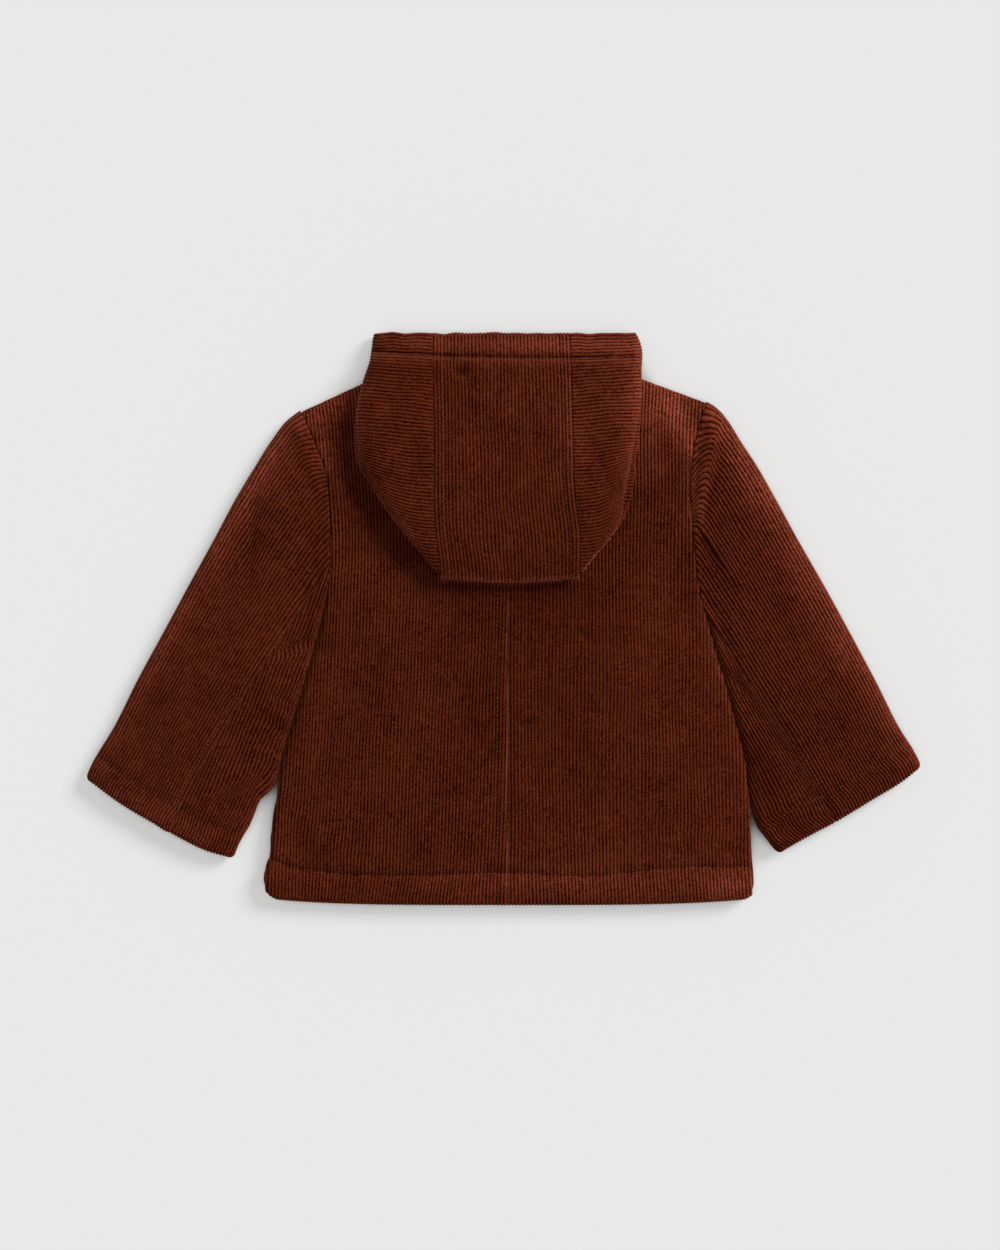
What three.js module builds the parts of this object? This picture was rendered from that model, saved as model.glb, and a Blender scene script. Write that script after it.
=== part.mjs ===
// A baby's hooded corduroy coat, lying flat and face down with its hood folded onto its back.
// Millimetres. +Z is up, +Y points to the hood, +X to the wearer's right; the floor is z = 0.
// The origin is under the middle of the whole coat.
import * as THREE from 'three';

// The cloth: corduroy, wadding and lining together make one wall.
const WALL = 5;
const LAYER_GAP = 0.6; // between two layers that lie on each other
const SEAM_GAP = 0.6; // between two pieces at a seam
const TWO_LAYERS = 2 * WALL + LAYER_GAP;
const WALE_PITCH = 2.31; // eleven wales to the inch
const WALE_HEIGHT = 0.6;
const REST_GAP = 0.3; // between the hood and the crests of the back's wales

// How far the upper layer of the body, a sleeve and the hood stands off the layer below it, and
// the distance over which it rises from each edge.
const BODY_PUFF = { height: 2.2, topY: 20, topRun: 60, hemRun: 40 };
const SLEEVE_PUFF = { height: 1.6, foldRun: 35, headShare: 0.3, cuffRun: 25, atCuff: 0.3 };
const HOOD_PUFF = { height: 1.5, foldRun: 25, crownRun: 30, faceRun: 40, atFace: 0.2 };

const FREE_EDGE_ROUND = 5; // how far in from a folded edge the cloth is still round
const FREE_EDGE_DROP = 4;
const SEAM_DIP = 1.2; // a seam lies this much below the cloth beside it
const SEAM_DIP_REACH = 3;

// Body outline, seen from above. Each armhole and side is rows of [x, y] from the shoulder down.
const CENTRE_BACK_X = 2.6;
const BACK_NECK_Y = 148;
const FRONT_NECK_Y = 115;
const NECK_POINT = { x: 66, y: 164 };
const SHOULDER_BAND = 0.1; // share of the first armhole stretch that the round shoulder edge takes
const ARMHOLE = {
  left: [[-130, 133], [-113.6, 82], [-112.4, 40], [-115.3, 4]],
  right: [[130, 138.5], [120.5, 84], [123.2, 40], [129.8, 4]],
};
const SIDE_SEAM = {
  left: [[-143, -92]],
  right: [[155.5, -90]],
};
const HEM_EDGE_Y = { centre: -184.5, side: -180.5 };
// The turned hem: [above the edge, lift of the outer face, left x, right x at the side seam].
const BODY_HEM = [
  [24, 0, -151.3, 160.3],
  [20.5, -1.1, -151, 160],
  [15, 1.1, -154, 161],
  [1.6, -0.9, -151.4, 160.2],
  [0, -3.6, -148.8, 158.8],
];
const FRONT_CENTRE_Y = [74, 40, 4]; // where the front's rows meet the centre, below its neck
const FRONT_COLUMNS = [0, 0.25, 0.5, 0.75, 0.96, 1]; // shares of the way from centre to side
const FRONT_EDGE_RISE = 1.6; // a front's underside comes off the floor at its free edges
const BACK_WALES_PER_WIDTH = 1.12; // the wales fan out, so their pitch is right half way down

// Sleeves: a top sleeve round the outer fold and an under sleeve round the inner one.
const BACK_SEAM_START_Y = { left: 31.5, right: 8 };
const SLEEVE_BACK_SEAM = {
  left: [[-166.3, -48], [-203.5, -113], [-215.4, -137.6]],
  right: [[156.5, -37], [187, -85], [214, -131]],
};
const SEAM_STEPS = 24;
const LAST_COLUMN = 30; // length of the under sleeve's shortest wale, beside the back seam
const CUFF_OUTER = {
  left: [[-269.3, -102.6], [-248.6, -118]],
  right: [[269.3, -94.8], [247, -110.8], [235, -118.4]],
};
const CUFF_INNER = {
  left: [[-175, -154], [-192, -149.4]],
  right: [[177.5, -151], [196, -140.6]],
};
const INNER_FOLD_OFFSET = 1.3; // between the side seam and the sleeve that lies beside it
const INNER_FOLD_END = {
  left: [[-148.2, -104], [-158.3, -118], [-165.2, -133.5]],
  right: [[158.9, -112], [165, -131]],
};
const OUTER_BOW = 6.3; // the outer fold stands this far off a straight line near its head
const OUTER_BOW_SKEW = 0.45;
const SLEEVE_INNER_COLUMNS = [0, 0.5, 1, 2, 3, 3.5, 4]; // parts of a fold, as foldSection has them
// Rows along a sleeve: [share of the plain stretch, millimetres beyond it, lift].
const SLEEVE_HEAD = 4;
const CUFF_DEPTH = 19;
const SLEEVE_ROWS = [
  [0, 0, -SEAM_DIP],
  [0, 4, 0],
  [0.16, 4, 0],
  [0.4, 4, 0],
  [0.7, 4, 0],
  [1, 4, 0],
  [1, 6.8, -1],
  [1, 12, 1],
  [1, 21.5, -0.8],
  [1, 23, -3.4],
];

// Hood: two sides and a strip between them, flattened and folded down at the neck.
const HOOD_TOP_Y = 184.5;
const HOOD_CROWN_Y = 25;
const HOOD_BASE = TWO_LAYERS + WALE_HEIGHT + REST_GAP;
const LIP_START_Y = 160; // beyond the neck the hood's lower layer comes down to the floor
const LIP_END_Y = 182;
const LIP_ROWS_Y = [LIP_START_Y, 170, LIP_END_Y];
// Seams between the strip and the sides: rows of [y, left x, right x].
const STRIP_SEAMS = [
  [HOOD_TOP_Y, -45.5, 42.2],
  [110, -44.4, 44.2],
  [57, -43.5, 48],
  [HOOD_CROWN_Y, -39.4, 48.2],
];
// Folds at the sides of the hood: rows of [y, x].
const SIDE_FOLD = {
  left: [
    [HOOD_TOP_Y, -84], [166, -86], [153.5, -90], [136, -94], [117, -95.4],
    [100.6, -95], [84, -83.4], [64, -71], [43.5, -55], [HOOD_CROWN_Y + 2, -41.4],
  ],
  right: [
    [HOOD_TOP_Y, 85.5], [175, 88.8], [139, 88.4], [106, 85.2], [80, 82],
    [64, 76.8], [51.6, 68.7], [39.4, 59], [HOOD_CROWN_Y + 2, 49.8],
  ],
};
const SIDE_WALE_SLOPE = 0.1; // the sides' wales fall from the fold to the strip
const SLOPE_RUN = { face: 30, crown: 40 }; // over which that slope comes in from each end
const HOOD_SIDE_ROWS = [0, 1, 1.5, 2, 3, 4]; // parts of a fold, as foldSection has them
const SIDE_SEAM_END = 3.5; // the sides' seams end this far short of the crown
const STRIP_ROWS_Y = [110, 57]; // rows of the strip between its hem and the crown
const STRIP_PULL = 0.96; // the strip's wales, closed up a little by its seams
const CROWN_TURNS = [60, 120]; // degrees
// By the crown a side is narrower than its cloth is thick: these shares of its width limit it.
const NARROW_FOLD = { round: 0.8, wall: 0.6, innerRound: 0.1 };
// The turned face edge: [from the edge, lift].
const FACE_HEM = [[0, -3.4], [1.5, -0.8], [11, 1], [15.5, -1], [18, 0]];

const CORDUROY = { color: 0x5f2818, roughness: 0.95, metalness: 0 };

const WAYS = { left: -1, right: 1 };

const mix = (a, b, t) => a + (b - a) * t;
const mixPoint = (p, q, t) => [mix(p[0], q[0], t), mix(p[1], q[1], t)];
const clamp = (value) => Math.min(1, Math.max(0, value));
const ease = (value) => clamp(value) ** 2 * (3 - 2 * clamp(value));
const distance = (p, q) => Math.hypot(q[0] - p[0], q[1] - p[1]);
const steps = (count) => Array.from({ length: count + 1 }, (_, i) => i / count);

// Reads a table by its first column; the key may rise or fall from row to row.
function lookUp(table, key, column = 1) {
  const falling = table[0][0] > table[table.length - 1][0];
  const sign = falling ? -1 : 1;
  let row = 0;
  while (row < table.length - 2 && sign * key > sign * table[row + 1][0]) row += 1;
  const [low, high] = [table[row], table[row + 1]];
  return mix(low[column], high[column], clamp((key - low[0]) / (high[0] - low[0])));
}

// The point at a share of the length of a line through points.
function along(points, share) {
  let rest = share * pathLength(points);
  for (let i = 0; i < points.length - 1; i += 1) {
    const stretch = distance(points[i], points[i + 1]);
    const last = i === points.length - 2;
    if (rest <= stretch || last) return mixPoint(points[i], points[i + 1], rest / stretch);
    rest -= stretch;
  }
  return points[points.length - 1];
}

function pathLength(points) {
  return points.slice(1).reduce((sum, point, i) => sum + distance(points[i], point), 0);
}

// A line through points, read so that lines drawn from it along `fold` are evenly spaced.
function spread(points, fold) {
  const [start, end] = fold;
  const [alongX, alongY] = [end[0] - start[0], end[1] - start[1]];
  const length = distance(start, end);
  const across = ([x, y]) => Math.abs((x - start[0]) * alongY - (y - start[1]) * alongX) / length;
  const last = across(points[points.length - 1]);
  const table = points.map((p) => [across(p) / last, p[0], p[1]]);
  return (share) => [lookUp(table, share, 1), lookUp(table, share, 2)];
}

// A patch between four edges: near and far run along the wales, start and end across them.
function patch({ near, far, start, end }) {
  const corners = [near(0), near(1), far(0), far(1)];
  return (across, t) => [0, 1].map((axis) => {
    const straightNear = mix(corners[0][axis], corners[1][axis], t);
    const straightFar = mix(corners[2][axis], corners[3][axis], t);
    return mix(start(across)[axis], end(across)[axis], t)
      + (1 - across) * (near(t)[axis] - straightNear) + across * (far(t)[axis] - straightFar);
  });
}

// Wale relief for a column that lies `count` wales along: 0 in a groove, full height on a crest.
const waleRelief = (count) => WALE_HEIGHT * (1 - Math.abs(2 * (count - Math.floor(count)) - 1));

// How far a folded edge has dropped at a distance from it.
function edgeDrop(fromEdge) {
  const inward = clamp(1 - fromEdge / FREE_EDGE_ROUND);
  return FREE_EDGE_DROP * (1 - Math.sqrt(1 - inward ** 2));
}

// One closed wall of cloth. The outer face has its own, closer columns for the wales; the inner
// face is plain. Both share their rows.
function wall(name, { outer, inner, outerColumns, innerColumns, rows }) {
  const vertices = [];
  const triangles = [];
  const grid = (surface, columns) => columns.map(
    (u) => rows.map((row) => vertices.push(surface(u, row)) - 1),
  );
  const top = grid(outer, outerColumns);
  const under = grid(inner, innerColumns);
  const quad = (a, b, c, d) => triangles.push([a, b, c], [a, c, d]);
  for (const [face, turned] of [[top, false], [under, true]]) {
    for (let i = 0; i < face.length - 1; i += 1) {
      for (let j = 0; j < rows.length - 1; j += 1) {
        const ring = [face[i][j], face[i + 1][j], face[i + 1][j + 1], face[i][j + 1]];
        quad(...(turned ? ring.reverse() : ring));
      }
    }
  }
  const lastTop = top[top.length - 1];
  const lastUnder = under[under.length - 1];
  for (let j = 0; j < rows.length - 1; j += 1) {
    quad(top[0][j], top[0][j + 1], under[0][j + 1], under[0][j]);
    quad(lastTop[j + 1], lastTop[j], lastUnder[j], lastUnder[j + 1]);
  }
  for (const [row, turned] of [[0, false], [rows.length - 1, true]]) {
    let [i, j] = [0, 0];
    while (i < top.length - 1 || j < under.length - 1) {
      const outerNext = j === under.length - 1
        || (i < top.length - 1 && outerColumns[i + 1] <= innerColumns[j + 1]);
      const triangle = outerNext
        ? [top[i + 1][row], top[i][row], under[j][row]]
        : [top[i][row], under[j][row], under[j + 1][row]];
      triangles.push(turned ? triangle.reverse() : triangle);
      if (outerNext) i += 1;
      else j += 1;
    }
  }
  return meshOf(name, vertices, triangles);
}

function meshOf(name, vertices, triangles) {
  const volume = triangles.reduce((sum, corners) => {
    const [p, q, r] = corners.map((corner) => new THREE.Vector3(...vertices[corner]));
    return sum + p.dot(q.cross(r));
  }, 0);
  const outward = volume < 0 ? triangles.map(([a, b, c]) => [a, c, b]) : triangles;
  const geometry = new THREE.BufferGeometry();
  geometry.setAttribute('position', new THREE.Float32BufferAttribute(vertices.flat(), 3));
  geometry.setIndex(outward.flat());
  geometry.computeVertexNormals();
  const mesh = new THREE.Mesh(geometry, new THREE.MeshStandardMaterial(CORDUROY));
  mesh.name = name;
  return mesh;
}

// ---- Body: two backs that meet in the centre seam, on two fronts that meet edge to edge ----

// The side edge of the body, row by row: shoulder, armhole, side seam and hem.
function sideEdge(side) {
  const armhole = ARMHOLE[side];
  const shoulderBand = mixPoint(armhole[0], armhole[1], SHOULDER_BAND);
  const hem = BODY_HEM.map(([above, , left, right]) => [
    side === 'left' ? left : right,
    HEM_EDGE_Y.side + above,
  ]);
  return [armhole[0], shoulderBand, ...armhole.slice(1), ...SIDE_SEAM[side], ...hem];
}

// Plan of a body panel: a point for a share of the way from its centre edge to its side.
function bodyPlan(side, centreX, neckY, centreYs) {
  const way = WAYS[side];
  const edge = sideEdge(side);
  const firstHemRow = edge.length - BODY_HEM.length;
  const neckShare = (way * NECK_POINT.x - centreX) / (edge[0][0] - centreX);
  const topY = (u) => (u < neckShare
    ? mix(neckY, NECK_POINT.y, (u / neckShare) ** 2)
    : mix(NECK_POINT.y, edge[0][1], (u - neckShare) / (1 - neckShare)));
  return (u, row) => {
    const x = mix(centreX, edge[row][0], u);
    if (row < 2) return [x, topY(u) + (edge[row][1] - edge[0][1])];
    const above = row < firstHemRow ? 0 : BODY_HEM[row - firstHemRow][0];
    const centreY = row < firstHemRow ? (centreYs[row - 2] ?? edge[row][1]) : HEM_EDGE_Y.centre + above;
    return [x, mix(centreY, edge[row][1], u ** 3)];
  };
}

const BODY_ROWS = sideEdge('left').map((_, row) => row);
const FIRST_HEM_ROW = BODY_ROWS.length - BODY_HEM.length;
const LAST_ARMHOLE_ROW = 1 + ARMHOLE.left.length - 1;

function rowLift(row) {
  if (row === 0) return -FREE_EDGE_DROP;
  return row < FIRST_HEM_ROW ? 0 : BODY_HEM[row - FIRST_HEM_ROW][1];
}

function backHalf(side) {
  const way = WAYS[side];
  const centreX = CENTRE_BACK_X + way * SEAM_GAP / 2;
  const plan = bodyPlan(side, centreX, BACK_NECK_Y, []);
  const widths = BODY_ROWS.map((row) => Math.abs(plan(1, row)[0] - centreX));
  const chest = Math.max(...widths.slice(1, LAST_ARMHOLE_ROW));
  const wales = Math.round(chest * BACK_WALES_PER_WIDTH / WALE_PITCH);
  const puff = (u, y) => BODY_PUFF.height * Math.sin(Math.PI * u)
    * ease((BODY_PUFF.topY - y) / BODY_PUFF.topRun)
    * ease((y - HEM_EDGE_Y.centre) / BODY_PUFF.hemRun);
  const inner = (u, row) => {
    const [x, y] = plan(u, row);
    return [x, y, WALL + LAYER_GAP + puff(u, y)];
  };
  const outer = (u, row) => {
    const [x, y, z] = inner(u, row);
    const fromSide = (1 - u) * widths[row];
    const sideDrop = row <= LAST_ARMHOLE_ROW && row > 0
      ? SEAM_DIP * clamp(1 - fromSide / SEAM_DIP_REACH)
      : edgeDrop(fromSide);
    const centreDip = SEAM_DIP * clamp(1 - u * widths[row] / SEAM_DIP_REACH);
    const drop = Math.min(FREE_EDGE_DROP, Math.max(sideDrop, centreDip) - rowLift(row));
    return [x, y, z + WALL - drop + (u > 0 && u < 1 ? waleRelief(u * wales) : 0)];
  };
  return wall(`back_${side}`, {
    outer, inner, outerColumns: steps(2 * wales), innerColumns: steps(8), rows: BODY_ROWS,
  });
}

function frontHalf(side) {
  const centreX = WAYS[side] * SEAM_GAP / 2;
  const plan = bodyPlan(side, centreX, FRONT_NECK_Y, FRONT_CENTRE_Y);
  const lastRow = BODY_ROWS.length - 1;
  const top = (u, row) => [...plan(u, row), WALL];
  const underside = (u, row) => {
    const atEdge = u === 1 || row === 0 || row === lastRow;
    return [...plan(u, row), atEdge ? FRONT_EDGE_RISE : 0];
  };
  return wall(`front_${side}`, {
    outer: top,
    inner: underside,
    outerColumns: FRONT_COLUMNS,
    innerColumns: FRONT_COLUMNS,
    rows: BODY_ROWS,
  });
}

// ---- A layer folded back under itself, used by the sleeves and the sides of the hood ----

// The section of a fold, as [from the fold, height, sideways and upward lean]. Up to 1 it is the
// upper face from the seam, to 2 and 3 the round of the fold, and to 4 the lower face.
function foldSection(part, width, round, half) {
  if (part <= 1) return [mix(width, round, part), half, 0, 1];
  if (part >= 3) return [mix(round, width, part - 3), -half, 0, -1];
  const angle = (part - 1) * Math.PI / 2;
  return [round - round * Math.sin(angle), half * Math.cos(angle), -Math.sin(angle), Math.cos(angle)];
}

// Columns round a fold: wales on the upper face and the upper half of the round, then plain.
function foldColumns(width) {
  const faceWales = Math.round((width - TWO_LAYERS / 2) / WALE_PITCH);
  const roundWales = Math.round(TWO_LAYERS / 2 * (Math.PI / 2) / WALE_PITCH);
  const face = steps(2 * faceWales);
  const round = steps(2 * roundWales).slice(1).map((share) => 1 + share);
  return {
    columns: [...face, ...round, 2.5, 3, 3.5, 4],
    relief: (part) => {
      if (part <= 0 || part > 2) return 0;
      return waleRelief(part <= 1 ? part * faceWales : (part - 1) * roundWales);
    },
  };
}

// ---- Sleeves ----

function seamStart(side) {
  const armhole = ARMHOLE[side];
  const byHeight = armhole.map(([x, y]) => [y, x]);
  return [lookUp(byHeight, BACK_SEAM_START_Y[side]), BACK_SEAM_START_Y[side]];
}

const shift = (points, byX) => points.map(([x, y]) => [x + byX, y]);

// A smooth line through points, as short straight steps.
function smooth(points) {
  const curve = new THREE.SplineCurve(points.map(([x, y]) => new THREE.Vector2(x, y)));
  return curve.getSpacedPoints(SEAM_STEPS).map(({ x, y }) => [x, y]);
}

function sleevePiece(name, edges) {
  const plan = patch(edges);
  const endWidth = distance(edges.near(1), edges.far(1));
  const { columns, relief: waleLift } = foldColumns(endWidth);
  const place = (section, [share, beyond, lift], raised) => {
    const atFold = plan(0, 0.5);
    const atSeam = plan(1, 0.5);
    const middleWidth = distance(atFold, atSeam);
    const across = clamp(section[0] / Math.max(middleWidth, endWidth));
    const length = distance(plan(across, 0), plan(across, 1));
    const t = (beyond + share * (length - SLEEVE_HEAD - CUFF_DEPTH)) / length;
    const point = plan(across, t);
    const outwards = plan(0, t);
    const inwards = plan(1, t);
    const width = distance(outwards, inwards);
    const puff = SLEEVE_PUFF.height * ease(section[0] / SLEEVE_PUFF.foldRun)
      * ease(t / SLEEVE_PUFF.headShare)
      * ease((1 - t) * length / SLEEVE_PUFF.cuffRun + SLEEVE_PUFF.atCuff);
    const relief = raised + (section[1] > WALL / 2 ? lift : 0);
    const push = section[2] * raised;
    return [
      point[0] + (inwards[0] - outwards[0]) / width * push,
      point[1] + (inwards[1] - outwards[1]) / width * push,
      TWO_LAYERS / 2 + section[1] + (section[1] >= 0 ? puff + section[3] * relief : 0),
    ];
  };
  const sectionWidth = Math.max(distance(plan(0, 0.5), plan(1, 0.5)), endWidth);
  const half = TWO_LAYERS / 2;
  const outer = (part, row) => place(foldSection(part, sectionWidth, half, half), row, waleLift(part));
  const inner = (part, row) => {
    const section = foldSection(part, sectionWidth - WALL, half - WALL, half - WALL);
    return place([section[0] + WALL, section[1], 0, 1], [row[0], row[1], 0], 0);
  };
  return wall(name, {
    outer,
    inner,
    outerColumns: columns,
    innerColumns: SLEEVE_INNER_COLUMNS,
    rows: SLEEVE_ROWS,
  });
}

function topSleeve(side) {
  const way = WAYS[side];
  const start = seamStart(side);
  const armhole = ARMHOLE[side];
  const head = shift([...armhole.filter(([, y]) => y > start[1]), start], way * SEAM_GAP);
  const seam = shift(smooth([start, ...SLEEVE_BACK_SEAM[side]]), way * SEAM_GAP);
  const cuff = [...CUFF_OUTER[side], seam[seam.length - 1]];
  const fold = [head[0], cuff[0]];
  const length = distance(...fold);
  const lean = [(fold[1][1] - fold[0][1]) / length, -(fold[1][0] - fold[0][0]) / length];
  const near = (t) => {
    const bow = -way * OUTER_BOW * Math.sin(Math.PI * t ** OUTER_BOW_SKEW);
    const [x, y] = mixPoint(...fold, t);
    return [x + lean[0] * bow, y + lean[1] * bow];
  };
  return sleevePiece(`sleeve_${side}_top`, {
    near, far: (t) => along(seam, t), start: spread(head, fold), end: spread(cuff, fold),
  });
}

function underSleeve(side) {
  const way = WAYS[side];
  const start = seamStart(side);
  const armhole = ARMHOLE[side];
  const underarm = armhole[armhole.length - 1];
  const seam = smooth([start, ...SLEEVE_BACK_SEAM[side]]);
  const lastStart = along(seam, 1 - LAST_COLUMN / pathLength(seam));
  const beside = shift([underarm, ...SIDE_SEAM[side]], way * INNER_FOLD_OFFSET);
  const inner = [...beside, ...INNER_FOLD_END[side], CUFF_INNER[side][0]];
  const alongSeam = seam.filter(([, y]) => y < start[1] - SEAM_GAP && y > lastStart[1]);
  const head = [inner[0], ...shift([start], way * SEAM_GAP), ...alongSeam, lastStart];
  const cuff = [...CUFF_INNER[side], seam[seam.length - 1]];
  const fold = [inner[0], inner[inner.length - 1]];
  return sleevePiece(`sleeve_${side}_under`, {
    near: (t) => along(inner, t),
    far: (t) => mixPoint(lastStart, cuff[2], t),
    start: spread(head, fold),
    end: spread(cuff, fold),
  });
}

// ---- Hood ----

const hoodBase = (y) => HOOD_BASE * (1 - ease((y - LIP_START_Y) / (LIP_END_Y - LIP_START_Y)));

const hoodPuff = (y) => HOOD_PUFF.height
  * ease((y - HOOD_CROWN_Y) / HOOD_PUFF.crownRun)
  * ease((HOOD_TOP_Y - y) / HOOD_PUFF.faceRun + HOOD_PUFF.atFace);

function hoodSide(side) {
  const way = WAYS[side];
  const seamColumn = side === 'left' ? 1 : 2;
  const lastSeamY = HOOD_CROWN_Y + SIDE_SEAM_END;
  const wales = Math.round((HOOD_TOP_Y - lastSeamY) / WALE_PITCH);
  const half = TWO_LAYERS / 2;
  const place = (u, section, raised, lifted) => {
    const seamY = mix(HOOD_TOP_Y, lastSeamY, u);
    const seamX = lookUp(STRIP_SEAMS, seamY, seamColumn) + way * SEAM_GAP;
    const slope = SIDE_WALE_SLOPE * ease((HOOD_TOP_Y - seamY) / SLOPE_RUN.face)
      * ease((seamY - lastSeamY) / SLOPE_RUN.crown);
    const foldY = seamY + slope * Math.abs(lookUp(SIDE_FOLD[side], seamY) - seamX);
    const foldX = lookUp(SIDE_FOLD[side], foldY);
    const width = Math.abs(foldX - seamX);
    const [fromFold, height, sideways, upward] = section(width);
    const share = fromFold / width;
    const y = mix(foldY, seamY, share);
    const lift = lifted && height > 0 ? lookUp(FACE_HEM, HOOD_TOP_Y - y) : 0;
    const puff = height > 0 ? hoodPuff(y) * ease(fromFold / HOOD_PUFF.foldRun) : 0;
    return [
      mix(foldX, seamX, share) - way * sideways * raised,
      y,
      hoodBase(y) + half + height + puff + (lift + raised) * Math.max(0, upward),
    ];
  };
  const outer = (u, part) => place(
    u,
    (width) => foldSection(part, width, Math.min(half, NARROW_FOLD.round * width), half),
    part <= 2 ? waleRelief(u * wales) : 0,
    true,
  );
  const inner = (u, part) => place(u, (width) => {
    const reach = Math.min(WALL, NARROW_FOLD.wall * width);
    const round = Math.min(half - WALL, NARROW_FOLD.innerRound * width);
    const [fromFold, height] = foldSection(part, width - reach, round, half - WALL);
    return [fromFold + reach, height, 0, 1];
  }, 0, false);
  return wall(`hood_side_${side}`, {
    outer,
    inner,
    outerColumns: steps(2 * wales),
    innerColumns: steps(16),
    rows: HOOD_SIDE_ROWS,
  });
}

// The strip runs from the face edge over the upper layer, round the crown and back to the lip.
function hoodCentre() {
  const half = TWO_LAYERS / 2;
  const hemRows = FACE_HEM.map(([from]) => HOOD_TOP_Y - from);
  const crownY = HOOD_CROWN_Y + half;
  const upperRows = [...hemRows, ...STRIP_ROWS_Y, crownY];
  const lowerRows = [crownY, ...[...STRIP_ROWS_Y].reverse(), ...LIP_ROWS_Y, HOOD_TOP_Y];
  const rows = [
    ...upperRows.map((y) => ({ y, turn: 0 })),
    ...CROWN_TURNS.map((degrees) => ({ y: crownY, turn: degrees * Math.PI / 180 })),
    ...lowerRows.map((y) => ({ y, turn: Math.PI })),
  ];
  const widest = Math.max(...STRIP_SEAMS.map(([, left, right]) => right - left));
  const wales = Math.round(widest / WALE_PITCH * STRIP_PULL);
  const place = (u, { y, turn }, reach, raised, lifted) => {
    const pointY = y - reach * Math.sin(turn);
    const height = reach * Math.cos(turn);
    const x = mix(lookUp(STRIP_SEAMS, pointY, 1), lookUp(STRIP_SEAMS, pointY, 2), u);
    const upper = turn === 0;
    const lift = lifted && upper ? lookUp(FACE_HEM, HOOD_TOP_Y - y) : 0;
    const puff = upper ? hoodPuff(y) : 0;
    const fromSeam = Math.min(u, 1 - u) * widest;
    const dip = lifted && upper ? SEAM_DIP * clamp(1 - fromSeam / SEAM_DIP_REACH) : 0;
    const z = hoodBase(y) + half + height + puff + lift - dip + raised * Math.cos(turn);
    return [x, pointY - raised * Math.sin(turn), z];
  };
  const outer = (u, row) => {
    const ribbed = row.turn < Math.PI / 2 && u > 0 && u < 1;
    return place(u, row, half, ribbed ? waleRelief(u * wales) : 0, true);
  };
  const inner = (u, row) => place(u, row, half - WALL, 0, false);
  return wall('hood_centre', {
    outer, inner, outerColumns: steps(2 * wales), innerColumns: steps(6), rows,
  });
}

const coat = new THREE.Group();
for (const side of ['left', 'right']) {
  coat.add(backHalf(side), frontHalf(side), topSleeve(side), underSleeve(side), hoodSide(side));
}
coat.add(hoodCentre());

export default coat;
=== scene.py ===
# A baby's hooded corduroy coat, laid face down on a pale table with its hood folded onto its back.
# Sizes are in millimetres unless a name says otherwise; MM turns them into metres.
import math

import bpy
import numpy as np
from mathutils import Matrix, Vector
from mathutils.bvhtree import BVHTree


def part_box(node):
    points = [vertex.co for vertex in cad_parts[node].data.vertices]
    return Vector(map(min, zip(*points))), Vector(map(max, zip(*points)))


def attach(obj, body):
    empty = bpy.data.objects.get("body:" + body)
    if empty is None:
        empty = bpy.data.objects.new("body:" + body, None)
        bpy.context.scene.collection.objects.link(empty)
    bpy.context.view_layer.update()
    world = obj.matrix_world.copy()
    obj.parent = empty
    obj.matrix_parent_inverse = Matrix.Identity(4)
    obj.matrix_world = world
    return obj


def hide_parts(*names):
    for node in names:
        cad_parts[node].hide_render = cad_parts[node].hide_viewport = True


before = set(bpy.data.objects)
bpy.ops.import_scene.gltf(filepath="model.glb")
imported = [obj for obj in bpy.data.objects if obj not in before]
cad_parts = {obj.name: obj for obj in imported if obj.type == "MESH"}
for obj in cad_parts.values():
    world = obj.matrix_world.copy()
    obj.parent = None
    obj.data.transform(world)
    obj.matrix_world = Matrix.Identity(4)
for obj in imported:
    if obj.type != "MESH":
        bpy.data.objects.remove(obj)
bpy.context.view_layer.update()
bpy.ops.object.select_all(action="DESELECT")

# ---- The view: looking straight down at the coat ----
# A long lens, so that the coat shows as it lies, without the sides of a close view.
MM = 0.001
VIEW_CENTRE = (-2.3 * MM, -3.9 * MM)
VIEW_LENGTH = 806 * MM
CAMERA_HEIGHT = 2.4
COAT_MIDDLE_HEIGHT = 10 * MM

bpy.ops.object.camera_add(location=(*VIEW_CENTRE, CAMERA_HEIGHT), rotation=(0, 0, 0))
camera = bpy.context.object
camera.data.lens = camera.data.sensor_width * (CAMERA_HEIGHT - COAT_MIDDLE_HEIGHT) / VIEW_LENGTH
bpy.context.scene.camera = camera

# ---- The table: a pale, matt sheet, far larger than the coat ----
# It glows with painted light that keeps shadows on it light. Ambient occlusion dims that glow near the
# coat, which paints shade into the gaps between parts of the coat.
TABLE_PAINTED_LIGHT = 0.465
GAP_REACH = 20 * MM
bpy.context.scene.view_settings.view_transform = "Standard"
bpy.ops.mesh.primitive_plane_add(size=8, location=(0, 0, -0.3 * MM))
table = bpy.context.object
table.name = "table"
sheet_material = bpy.data.materials.new("pale_sheet")
sheet_material.use_nodes = True
sheet_nodes, sheet_links = sheet_material.node_tree.nodes, sheet_material.node_tree.links
sheet_surface = sheet_nodes["Principled BSDF"]
sheet_surface.inputs["Base Color"].default_value = (0.36, 0.36, 0.355, 1)
sheet_surface.inputs["Roughness"].default_value = 0.9
sheet_surface.inputs["Specular IOR Level"].default_value = 0.1
sheet_surface.inputs["Emission Color"].default_value = (1, 1, 1, 1)
# Painted light and shade: the glow is full in the open and fades by ambient occlusion near the coat and in
# its gaps.
gap_occlusion = sheet_nodes.new("ShaderNodeAmbientOcclusion")
gap_occlusion.inputs["Distance"].default_value = GAP_REACH
painted_light_strength = sheet_nodes.new("ShaderNodeMapRange")
painted_light_strength.inputs["From Min"].default_value = 0.25
painted_light_strength.inputs["From Max"].default_value = 0.65
painted_light_strength.inputs["To Max"].default_value = TABLE_PAINTED_LIGHT
sheet_links.new(gap_occlusion.outputs["AO"], painted_light_strength.inputs["Value"])
sheet_links.new(painted_light_strength.outputs["Result"], sheet_surface.inputs["Emission Strength"])
table.data.materials.append(sheet_material)

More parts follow.
